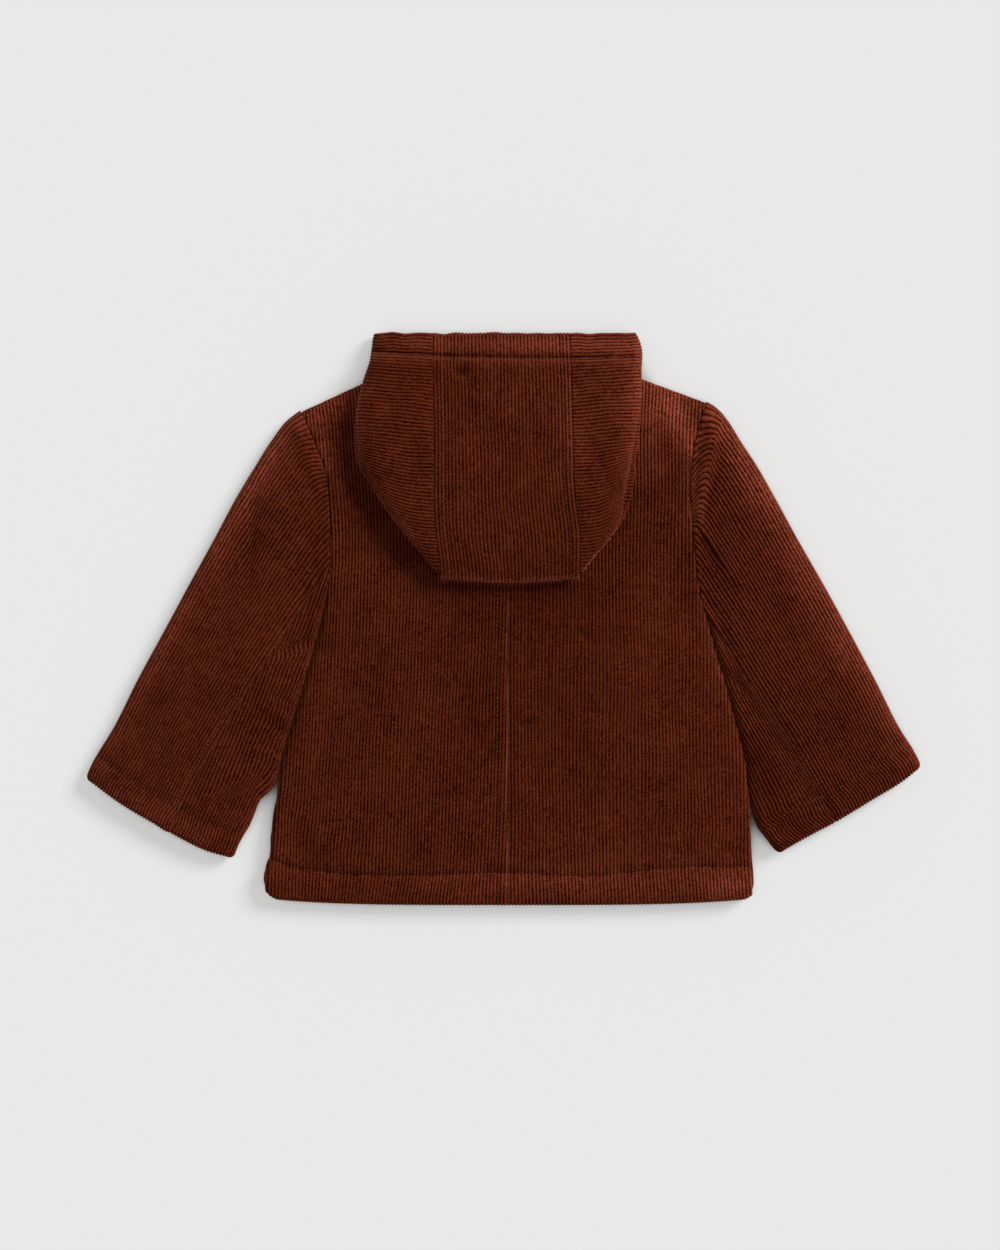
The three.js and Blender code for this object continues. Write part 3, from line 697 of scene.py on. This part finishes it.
UNDERSIDE_COLUMNS = 9


def folded_columns(width):
    """How many columns go up the edge, over the face, round each half of the fold and back."""
    quarter = HALF_LAYERS * math.pi / 2
    return np.array([2, (width - HALF_LAYERS) / COLUMN_STEP, quarter / COLUMN_STEP, 5, UNDERSIDE_COLUMNS])


def folded(share, counts, width):
    """Runs over a layer folded back under itself: up its edge, over the upper face, round the fold
    and back along the table. Gives the run along the cloth, the distance of its flat parts from
    the round of the fold, the turn (0 on top, pi underneath), and how far down its edge it is."""
    quarter, face = HALF_LAYERS * math.pi / 2, width - HALF_LAYERS
    ends = np.concatenate([[0], np.cumsum(counts)])
    run = np.interp(share * ends[-1], ends, np.cumsum([0, 0, face, quarter, quarter, face]))
    turn = np.clip((run - face) / HALF_LAYERS, 0, math.pi)
    flat = np.maximum(face - run, 0) + np.maximum(run - face - 2 * quarter, 0)
    return run, flat, turn, np.clip(1 - share * ends[-1] / counts[0], 0, 1)


def sleeve_piece(name, edges, seams, armhole, curl, table, fullness, rows_power, skew):
    """Part of a sleeve between a fold and a seam, from its head to its turned cuff."""
    head_end, tip, seam_end = edges[0](0), edges[0](1), edges[1](1)
    fold_way = (tip - head_end) / np.hypot(*(tip - head_end))
    width = abs(fold_way[0] * (seam_end - tip)[1] - fold_way[1] * (seam_end - tip)[0])
    counts = folded_columns(width)
    outer, rows = round(counts.sum()), 180
    upper_face = outer - UNDERSIDE_COLUMNS
    inner = np.append(np.arange(outer, upper_face, -1), np.linspace(upper_face, 0, 13))

    def place(across, down):
        around, inside = doubled(across, inner)
        run, flat, turn, tucked = folded(around, counts, width)
        turn_in, depth = turned_edge((down - CUFF_ROWS) / (1 - CUFF_ROWS))
        depth = np.where(inside, WALL, depth)
        to_edge = np.interp(down, (SLEEVE_ROWS, CUFF_ROWS), (CUFF_LENGTH, HALF_WALL))
        to_edge = np.where(down > CUFF_ROWS, np.where(inside, HALF_WALL, turn_in), to_edge)
        radius = HALF_LAYERS - depth
        from_fold = np.where(flat > 0, HALF_LAYERS + flat, HALF_LAYERS - radius * np.sin(turn))
        share = np.clip(from_fold / width, 0, 1)
        head, cuff = patch(edges, share, 0 * share), patch(edges, share, 0 * share + 1)
        length = np.hypot(*(cuff - head).T)
        plain = np.clip((down - HEAD_ROWS) / (SLEEVE_ROWS - HEAD_ROWS), 0, 1) ** rows_power
        beyond = np.where(down < SLEEVE_ROWS, plain * (length - CUFF_LENGTH), length - to_edge)
        x, y = patch(edges, share, beyond / length).T
        upper, face_up = np.clip(np.cos(turn), 0, 1), turn < math.pi / 2
        gap, along_seam = gap_to(x, y, seams)
        curled = curl(along_seam) * np.clip(1 - gap / CURL_REACH, 0, 1) ** 1.3 * face_up
        moved_to = np.clip((along_seam + curled) / seams_length, 0, 1)
        x, y = np.stack([x, y]) + (seams(moved_to) - seams(along_seam / seams_length)).T
        folds, slip = creases(x, y, table)
        puff = fullness * ease(from_fold / 38) ** 0.7 * ease(beyond / 50)
        puff = puff * ease((length - beyond) / 25 + 0.3)
        at_armhole = ease((armhole - along_seam) / 10)
        seam_round = FLAT_SEAM_ROUND + (SEAM_ROUND - FLAT_SEAM_ROUND) * at_armhole
        tucked = np.maximum(tucked, np.clip(1 - down / HEAD_ROWS, 0, 1))
        sunk = edge_drop(gap, seam_round) + tucked * (WALL - seam_round)
        lift = puff + folds + waves(x, y, SLEEVE_WAVES)
        level = 1.7 * ease((along_seam - armhole) / 25) * ease((length - beyond) / 40 + 0.3)
        lift = level + (lift - level) * ease(gap / 7)
        lift = lift + turned_hem(length - beyond, CUFF_STITCH, x - y, fullness=0.7, pull=0.35)
        lift = (lift * (1 - tucked) - sunk) * (1 - depth / WALL)
        z = HALF_LAYERS + radius * np.cos(turn) + lift * upper
        in_cuff = np.clip(1 - (length - beyond) / CUFF_STITCH, 0, 1)
        kink = 0.75 * np.sin(0.8 * math.pi * in_cuff)
        wales = (run - skew * (length - beyond)) / SLEEVE_WALE + slip - kink + 0.1 * drift(x, y, 60, 23)
        shows = ease(gap / 0.9) * (1 - ease((turn - 1.9) / 0.6)) * pressed(depth) * ~inside
        return x, y, z, SLEEVE_RELIEF * wale_height(wales) * shows, wales, beyond

    seams_length = gap_to(*seams(np.array([1.0])).T, seams)[1][0]
    piece = lay_cloth(name + "_cloth", inner, rows, place)
    wear(piece, name)
    return piece


def shifted(points, by_x):
    return [(x + by_x, y) for x, y in points]


def top_sleeve(side):
    gap = WAYS[side] * SEAM_GAP
    head = shifted(SLEEVE_HEAD[side], gap)
    seam = shifted((SLEEVE_HEAD[side][-1], *BACK_SEAM[side]), gap)
    fold = (head[0], *OUTER_FOLD[side], CUFF_TIP[side])
    cuff = (CUFF_TIP[side], *TOP_CUFF[side], seam[-1])
    ends = (fold[0], fold[-1])
    edges = (line_through(fold), line_through(seam), fanned(head, ends), fanned(cuff, ends))
    seams = line_through((*head, *seam[1:]))
    armhole = sum(math.dist(*ends) for ends in zip(head, head[1:]))
    curl = outline(HEAD_CURL[side])
    piece = sleeve_piece(f"sleeve_{side}_top", edges, seams, armhole, curl, SLEEVE_CREASES[side],
                         fullness=3, rows_power=1.3, skew=0)
    return piece


top_sleeves = {side: top_sleeve(side) for side in WAYS}

# ---- The under sleeves: from the back seam round the inner fold ----
# Each lies beside the body, from the underarm down to the turned cuff, and its wales run along
# the inner fold, so that the back seam cuts across them.
INNER_FOLD = {
    "left": ((-147, -104), (-150.4, -110), (-158.3, -118), (-161.6, -126), (-164.8, -133.5),
             (-169.3, -141)),
    "right": ((158, -106), (159.5, -116), (164, -133.5), (169.3, -141)),
}
INNER_TIP = {"left": (-175, -154), "right": (177.5, -151)}
UNDER_CUFF = {"left": ((-192, -149.2),), "right": ((194.5, -141.2),)}
BESIDE_BODY = {"left": 0.9, "right": 0.4}
BODY_SIDE_YS = (4, -17, -43, -68, -92)
LAST_WALE = 30
UNDERARM_SEAM = 20
UNDER_SKEW = {"left": 0.05, "right": 0.25}
UNDER_CREASES = {
    "left": (
        (-145, -20, -122, -13, 3, 3, -1.5, 0.9),
        (-145, -27, -125, -21, 3, 3.5, 1, -0.4),
        (-119, 0, -124, -10, 3, 3, 1.2, 0),
        (-148, -49, -134, -58, 3, 3.5, -1.2, 0.5),
        (-150, -58, -137, -67, 3, 3, 0.9, 0),
        (-152, -66, -139, -76, 3, 3.5, -1.2, -0.5),
        (-156, -84, -145, -92, 3, 3, 0.7, 0.3),
        (-165, -70, -156, -100, 5, 6, 0.7, 0.2),
        (-168, -132, -180, -128, 3, 3, -0.7, 0.4),
    ),
    "right": (
        (136, -15, 147, -29, 2.6, 2.6, 1.1, 0.3),
        (140, -33, 153, -44, 3, 3, -1.2, 0.6),
        (148, -52, 160, -76, 4, 5, 0.7, 0),
        (157, -88, 163, -116, 3, 4, -0.9, 0.4),
        (186, -118, 167, -131, 4, 3, 0.9, -0.4),
        (184, -127, 170, -139, 3, 3, -0.9, 0.4),
    ),
}


def under_sleeve(side):
    way = WAYS[side]
    start = SLEEVE_HEAD[side][-1]
    seam = line_through((start, *BACK_SEAM[side]))
    dots = seam(np.linspace(0, 1, 40))
    run = run_along(dots)
    last = seam(np.array([1 - LAST_WALE / run[-1]]))[0]
    body = [(side_x[side](np.array([y]))[0] + way * BESIDE_BODY[side], y) for y in BODY_SIDE_YS]
    fold = (*body, *INNER_FOLD[side], INNER_TIP[side])
    upper_seam = [tuple(dot) for dot in dots[1:] if dot[1] > last[1] + 1]
    head = (fold[0], (start[0] + way * SEAM_GAP, start[1]), *upper_seam, tuple(last))
    cuff = (INNER_TIP[side], *UNDER_CUFF[side], tuple(dots[-1]))
    ends = (fold[0], fold[-1])
    edges = (line_through(fold), line_through((last, dots[-1])), fanned(head, ends), fanned(cuff, ends))
    seams = line_through((fold[0], start, *BACK_SEAM[side]))
    no_curl = outline(((0, 0), (1, 0)))
    piece = sleeve_piece(f"sleeve_{side}_under", edges, seams, UNDERARM_SEAM, no_curl,
                         UNDER_CREASES[side], fullness=1.8, rows_power=1.5, skew=UNDER_SKEW[side])
    return piece


under_sleeves = {side: under_sleeve(side) for side in WAYS}

# ---- The hood's sides: from the strip's seams round the outer folds ----
# The hood is folded down onto the backs. The sides' wales run across it and the face edge is
# turned in and stitched along the top. Beyond the neck it comes down to the table.
HOOD_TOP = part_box("hood_centre")[1][1] / MM
HOOD_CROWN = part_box("hood_centre")[0][1] / MM
HOOD_BASE = TWO_LAYERS + 1.3
LIP_START, LIP_END = 160, 182
STRIP_SEAM = {
    "left": outline(((HOOD_TOP, -45.5), (150, -44.8), (110, -44.4), (57, -43.5), (28, -40))),
    "right": outline(((HOOD_TOP, 42.2), (150, 43.4), (110, 44.4), (76, 46), (57, 48.4), (28, 48.3))),
}
HOOD_FOLD = {
    "left": outline(((HOOD_TOP, -84), (174, -85), (166, -86), (153.5, -90), (136, -94), (117, -95.4),
                     (100.6, -93.5), (84, -84), (64, -71), (43.5, -55), (27, -41.4))),
    "right": outline(((HOOD_TOP, 85.5), (175, 88.8), (160, 88.6), (139, 88.4), (106, 85.4), (80, 82),
                      (64, 76.8), (51.6, 68.7), (39.4, 59), (27, 49.8))),
}
# How far the under layer shows beyond the upper layer's fold: rows of y.
HOOD_PEEK = {
    "left": outline(((130, 0), (118, 1.2), (104, 1.5), (94, 0))),
    "right": outline(((146, 0), (136, 0.6), (117, 2.4), (100, 3.4), (80, 4.4), (66, 2), (56, 0))),
}
HOOD_SLOPE = {"left": 0.085, "right": 0.065}
HOOD_BEND = 12
# How far the face edge's stitches run from it: rows of x, distance.
band_stitch = outline(((-86, 12.6), (-44, 15.4), (20, 17), (88, 16.8)))
CROWN_SAG = 1.7
HOOD_PUFF = 2.1
HOOD_WAVES = ((0.35, 40, 31), (0.13, 14, 32))
EDGE_WAVE = (0.5, 14, 36)
# Where a side's columns end, as shares: the edge tucked into its seam, its upper face, its fold. The
# rest lie under. TURNED_ROWS is the share of its rows that turn in at the face edge.
TUCKED_COLUMNS, FACE_COLUMNS, FOLD_COLUMNS = 0.03, 0.66, 0.88
TURNED_ROWS = 0.03
LEDGE_FROM, LEDGE_TO = 1.25, 1.75  # radians round the fold, where the under layer shows
HOOD_CREASES = (
    (-36, 166, -22, 152, 5, 5, -2, 0.3),
    (-44, 156, -70, 128, 7, 7, 1, 0.3),
    (-62, 118, -56, 92, 8, 8, -1.2, -0.3),
    (-20, 150, 6, 120, 12, 12, 1, 0.2),
    (20, 116, 40, 92, 8, 8, -1, 0.3),
    (6, 80, 30, 50, 12, 10, 0.8, 0.2),
    (58, 150, 80, 112, 8, 8, 1, 0.2),
    (52, 120, 70, 84, 6, 6, -1.1, -0.3),
    (-30, 60, 0, 40, 10, 8, -0.8, 0.3),
    (70, 160, 86, 150, 5, 5, -1, 0.2),
)


def hood_base(y):
    return HOOD_BASE * (1 - ease((y - LIP_START) / (LIP_END - LIP_START)))


def crown_sag(x, y):
    """The crown's fold hangs lower in its middle than at its corners."""
    return CROWN_SAG * (2 * np.clip((x - 4) / 46, -1, 1) ** 2 - 1) * ease((75 - y) / 45)


def hood_lift(x, y, from_seam, from_fold):
    """The height of the hood's soft forms and its turned face edge, and the slip of its wales."""
    puff = HOOD_PUFF * ease((y - HOOD_CROWN) / 30) * ease((HOOD_TOP - y) / 40 + 0.2)
    folds, slip = creases(x, y, HOOD_CREASES)
    soft = puff + folds + waves(x, y, HOOD_WAVES)
    soft = soft * (0.8 + 0.2 * ease(from_seam / 6)) * ease(from_fold / 12)
    return soft + turned_hem(HOOD_TOP - y, band_stitch(x), x, fullness=1.9, pull=2.2), slip


def hood_sway(x, y):
    """How far the hood's outline waves along its face edge and hangs at its crown."""
    return waves(x, 0 * x, (EDGE_WAVE,)) * ease((y - 165) / 15) + crown_sag(x, y)


def hood_side(side):
    way = WAYS[side]
    last_y = HOOD_CROWN + 3.5
    inner, rows = np.linspace(80, 0, 9), 384

    def place(down, across):
        around, inside = doubled(down, inner)
        turn_in, depth = turned_edge(1 - across / TURNED_ROWS)
        depth = np.where(inside, WALL, depth)
        from_edge = np.where((across > TURNED_ROWS) | inside, HALF_WALL, turn_in)
        plain = np.clip((across - TURNED_ROWS) / (1 - TURNED_ROWS), 0, 1)
        seam_y = HOOD_TOP - from_edge - (HOOD_TOP - HALF_WALL - last_y) * plain
        seam_x = STRIP_SEAM[side](seam_y) + way * SEAM_GAP
        slope = HOOD_SLOPE[side] * ease((HOOD_TOP - seam_y) / 30) * ease((seam_y - last_y) / 40)
        sloped = slope * np.abs(HOOD_FOLD[side](seam_y) - seam_x)
        bend = HOOD_BEND * ease((118 - seam_y) / 50) * ease((seam_y - last_y) / 22)
        fold_y = seam_y + sloped + bend
        fold_x = HOOD_FOLD[side](fold_y)
        width = np.abs(fold_x - seam_x)
        half = np.minimum(HALF_LAYERS, 0.8 * width)
        radius = (HALF_LAYERS - depth) * half / HALF_LAYERS
        turn = math.pi * np.clip((around - FACE_COLUMNS) / (FOLD_COLUMNS - FACE_COLUMNS), 0, 1)
        ledge = ease((turn - LEDGE_FROM) / (LEDGE_TO - LEDGE_FROM))
        turn = np.interp(turn, (0, LEDGE_FROM, LEDGE_TO, math.pi), (0, 1.5, 1.55, math.pi))
        under_share = np.clip((around - FOLD_COLUMNS) / (1 - FOLD_COLUMNS), 0, 1)
        on_upper = np.clip((around - TUCKED_COLUMNS) / (FACE_COLUMNS - TUCKED_COLUMNS), 0, 1)
        run = (width - half + 0.45) * on_upper
        inward, sunk = rolled_edge(run, FLAT_SEAM_ROUND)
        on_face = np.where(inside, (width - half) * around / FACE_COLUMNS, inward)
        on_face = np.minimum(on_face, width - half)
        from_fold = np.where(around < FACE_COLUMNS, width - on_face, half - radius * np.sin(turn))
        from_fold = np.where(around > FOLD_COLUMNS, half + (width - half) * under_share, from_fold)
        share = from_fold / width
        x = fold_x + (seam_x - fold_x) * share
        y = seam_y + sloped * (1 - share) + bend * (1 - share) ** 3
        y = y + hood_sway(x, y)
        drawn_in = HOOD_PEEK[side](fold_y) * (1 - ledge) * np.exp(-(from_fold / 16) ** 2)
        x = x - way * drawn_in * ~inside
        tucked = np.clip(1 - around / TUCKED_COLUMNS, 0, 1)
        sunk = sunk + tucked * (WALL - FLAT_SEAM_ROUND)
        lift, slip = hood_lift(x, y, width - from_fold, from_fold)
        lift = (lift * (1 - tucked) - sunk) * (1 - depth / WALL)
        upward = np.cos(turn)
        z = hood_base(y) + HALF_LAYERS + (HALF_LAYERS - depth) * upward + lift * np.clip(upward, 0, 1)
        wales = (HOOD_TOP - seam_y) / WALE + slip + 0.1 * drift(x, y, 50, 33)
        shows = ease(run / 1.2) * (1 - ease((turn - 1.9) / 0.6)) * pressed(depth) * ~inside
        return x, y, z, wale_height(wales) * shows, wales, width - from_fold

    piece = lay_cloth(f"hood_side_{side}_cloth", inner, rows, place)
    wear(piece, f"hood_side_{side}")
    return piece


hood_sides = {side: hood_side(side) for side in WAYS}

# ---- The hood's strip: over the upper layer, round the crown and back to the lip ----
# Its wales run down it, and its seams are pressed towards it and stitched.
STRIP_STITCH = 6.2
STRIP_WIDTH = 90
BAND_LENGTH = 26


def hood_centre():
    face = HOOD_TOP - HALF_WALL - (HOOD_CROWN + HALF_LAYERS)
    # Where the rows end, as shares: the turned edge, the band, the upper layer, the crown, the under
    # layer. The rest turn in at the lip.
    turned, band, crown, crown_end, lip = np.cumsum([0.05, 0.2, 0.5, 0.08, 0.13])
    inner, rows = np.linspace(214, 0, 9), 190

    def place(across, down):
        around, inside = doubled(across, inner)
        upper_in, upper_depth = turned_edge(1 - np.clip(down / turned, 0, 1))
        lower_in, lower_depth = turned_edge(np.clip((down - lip) / (1 - lip), 0, 1))
        depth = upper_depth * (down < turned) + lower_depth * (down > lip)
        depth = np.where(inside, WALL, depth)
        from_edge = np.interp(down, (turned, band, crown, crown_end, lip),
                              (HALF_WALL, BAND_LENGTH, HALF_WALL + face, HALF_WALL + face, HALF_WALL))
        from_edge = np.where((down < turned) & ~inside, upper_in, from_edge)
        from_edge = np.where((down > lip) & ~inside, lower_in, from_edge)
        turn = math.pi * np.clip((down - crown) / (crown_end - crown), 0, 1)
        mid_y = HOOD_TOP - from_edge
        left, right = STRIP_SEAM["left"](mid_y), STRIP_SEAM["right"](mid_y)
        width = right - left
        inward, drop, shows = rolled(around, inside, width, FLAT_SEAM_ROUND, FLAT_SEAM_ROUND)
        radius = HALF_LAYERS - np.maximum(depth, drop)
        x = left + inward
        y = mid_y - radius * np.sin(turn)
        y = y + hood_sway(x, y)
        from_seam = np.minimum(inward, width - inward)
        lift, slip = hood_lift(x, y, from_seam, mid_y - HOOD_CROWN)
        stitched = np.exp(-((from_seam - STRIP_STITCH) / 1.1) ** 2)
        lift = lift + 0.3 * (from_seam < STRIP_STITCH) - 0.6 * stitched
        lift = lift * (1 - np.maximum(depth, drop) / WALL) * np.clip(np.cos(turn), 0, 1)
        z = hood_base(y) + HALF_LAYERS + radius * np.cos(turn) + lift
        wales = inward / width * STRIP_WIDTH / WALE + slip + 0.1 * drift(x, y, 50, 34)
        shows = shows * (1 - ease((turn - 2) / 0.6)) * pressed(depth)
        return x, y, z, wale_height(wales) * shows, wales, from_edge

    piece = lay_cloth("hood_centre_cloth", inner, rows, place)
    wear(piece, "hood_centre")
    return piece


hood_strip = hood_centre()

# ---- The topstitching: rows of rust thread that hold the turned edges and the pressed seams ----
# Each stitch is a short, thick dash that sits in the pile. The rows are sewn on a machine, so
# the stitches are even.
STITCH_PITCH = 2.9
STITCH_SIZE = (0.7, 0.18, 0.16)  # half of its length, width and height
SLOPE_REACH = 0.8
HALF_HEM = 155
CENTRE_YS = (20, -60, -181)
CUFF_ROUTE = {
    "left": ((-259.5, -90.5), (-242, -101.5), (-217, -116.5), (-196, -126), (-173, -133.5)),
    "right": ((260, -81), (241, -93.5), (218.5, -107), (197, -118), (173.5, -129.5)),
}
BACK_SEAM_ROUTE = {
    "left": ((-150.5, -16), (-170.5, -47.5), (-186.5, -73.5), (-201.5, -99.5), (-212, -119.5)),
    "right": ((146, -14), (161, -38.5), (174.5, -60), (191, -86.5), (204.5, -109), (209, -119)),
}
HOOD_SEAM_ROUTE = {
    "left": ((-39, 168), (-37.8, 110), (-37, 57), (-33.8, 30)),
    "right": ((37, 168), (38.2, 110), (39.8, 76), (42.2, 57), (42, 30)),
}
thread = bpy.data.materials.new("rust_thread")
thread.use_nodes = True
thread_surface = thread.node_tree.nodes["Principled BSDF"]
thread_surface.inputs["Base Color"].default_value = (0.2, 0.052, 0.02, 1)
thread_surface.inputs["Roughness"].default_value = 0.7


def surface_of(pieces):
    """Finds the top of some cloth: its height at a point."""
    depsgraph = bpy.context.evaluated_depsgraph_get()
    trees = [BVHTree.FromObject(piece, depsgraph) for piece in pieces]

    def top(x, y):
        hits = [tree.ray_cast(Vector((x * MM, y * MM, 0.1)), Vector((0, 0, -1))) for tree in trees]
        return max((hit[0].z for hit in hits if hit[0]), default=0)

    return top


def sew(name, pieces, route):
    """A row of stitches along a route, on top of the cloth."""
    top = surface_of(pieces)
    line = line_through(route)
    dots = line(np.linspace(0, 1, 400))
    run = run_along(dots)
    bpy.ops.mesh.primitive_uv_sphere_add(segments=6, ring_count=4, radius=MM)
    first = bpy.context.object
    first.scale = STITCH_SIZE
    bpy.ops.object.transform_apply(location=False, rotation=False, scale=True)
    row = [first]
    for at in np.arange(1, run[-1], STITCH_PITCH):
        x, y = (np.interp(at, run, dots[:, axis]) for axis in (0, 1))
        reach = np.clip(np.array([at - SLOPE_REACH, at + SLOPE_REACH]) / run[-1], 0, 1)
        back, ahead = line(reach)
        heights = top(*back), top(*ahead)
        stitch = first if at == 1 else bpy.data.objects.new(name, first.data.copy())
        if at > 1:
            bpy.context.collection.objects.link(stitch)
            row.append(stitch)
        stitch.location = (x * MM, y * MM, sum(heights) / 2)
        way = Vector(((ahead[0] - back[0]) * MM, (ahead[1] - back[1]) * MM, heights[1] - heights[0]))
        stitch.rotation_euler = way.to_track_quat("X", "Z").to_euler()
    for stitch in row:
        stitch.select_set(True)
    bpy.context.view_layer.objects.active = first
    bpy.ops.object.join()
    bpy.ops.object.transform_apply()
    first.name = first.data.name = name
    first.data.materials.append(thread)
    bpy.ops.object.shade_smooth()
    bpy.ops.object.select_all(action="DESELECT")
    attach(first, "root")


hem_xs = np.linspace(-148, 158, 40)
hem_ys = hem_edge(np.abs(hem_xs - CENTRE_SEAM_X) / HALF_HEM) + hem_stitch(hem_xs)
sew("hem_stitches", backs.values(), tuple(zip(hem_xs, hem_ys)))
sew("centre_back_stitches", backs.values(), [(CENTRE_SEAM_X - CENTRE_STITCH, y) for y in CENTRE_YS])
for side in WAYS:
    sleeve = (top_sleeves[side], under_sleeves[side])
    sew(f"cuff_{side}_stitches", sleeve, CUFF_ROUTE[side])
    sew(f"sleeve_{side}_stitches", sleeve, BACK_SEAM_ROUTE[side])
hood = (*hood_sides.values(), hood_strip)
band_xs = np.linspace(-84, 86, 20)
sew("hood_band_stitches", hood, tuple(zip(band_xs, HOOD_TOP - band_stitch(band_xs))))
for side in WAYS:
    sew(f"hood_{side}_stitches", hood, HOOD_SEAM_ROUTE[side])
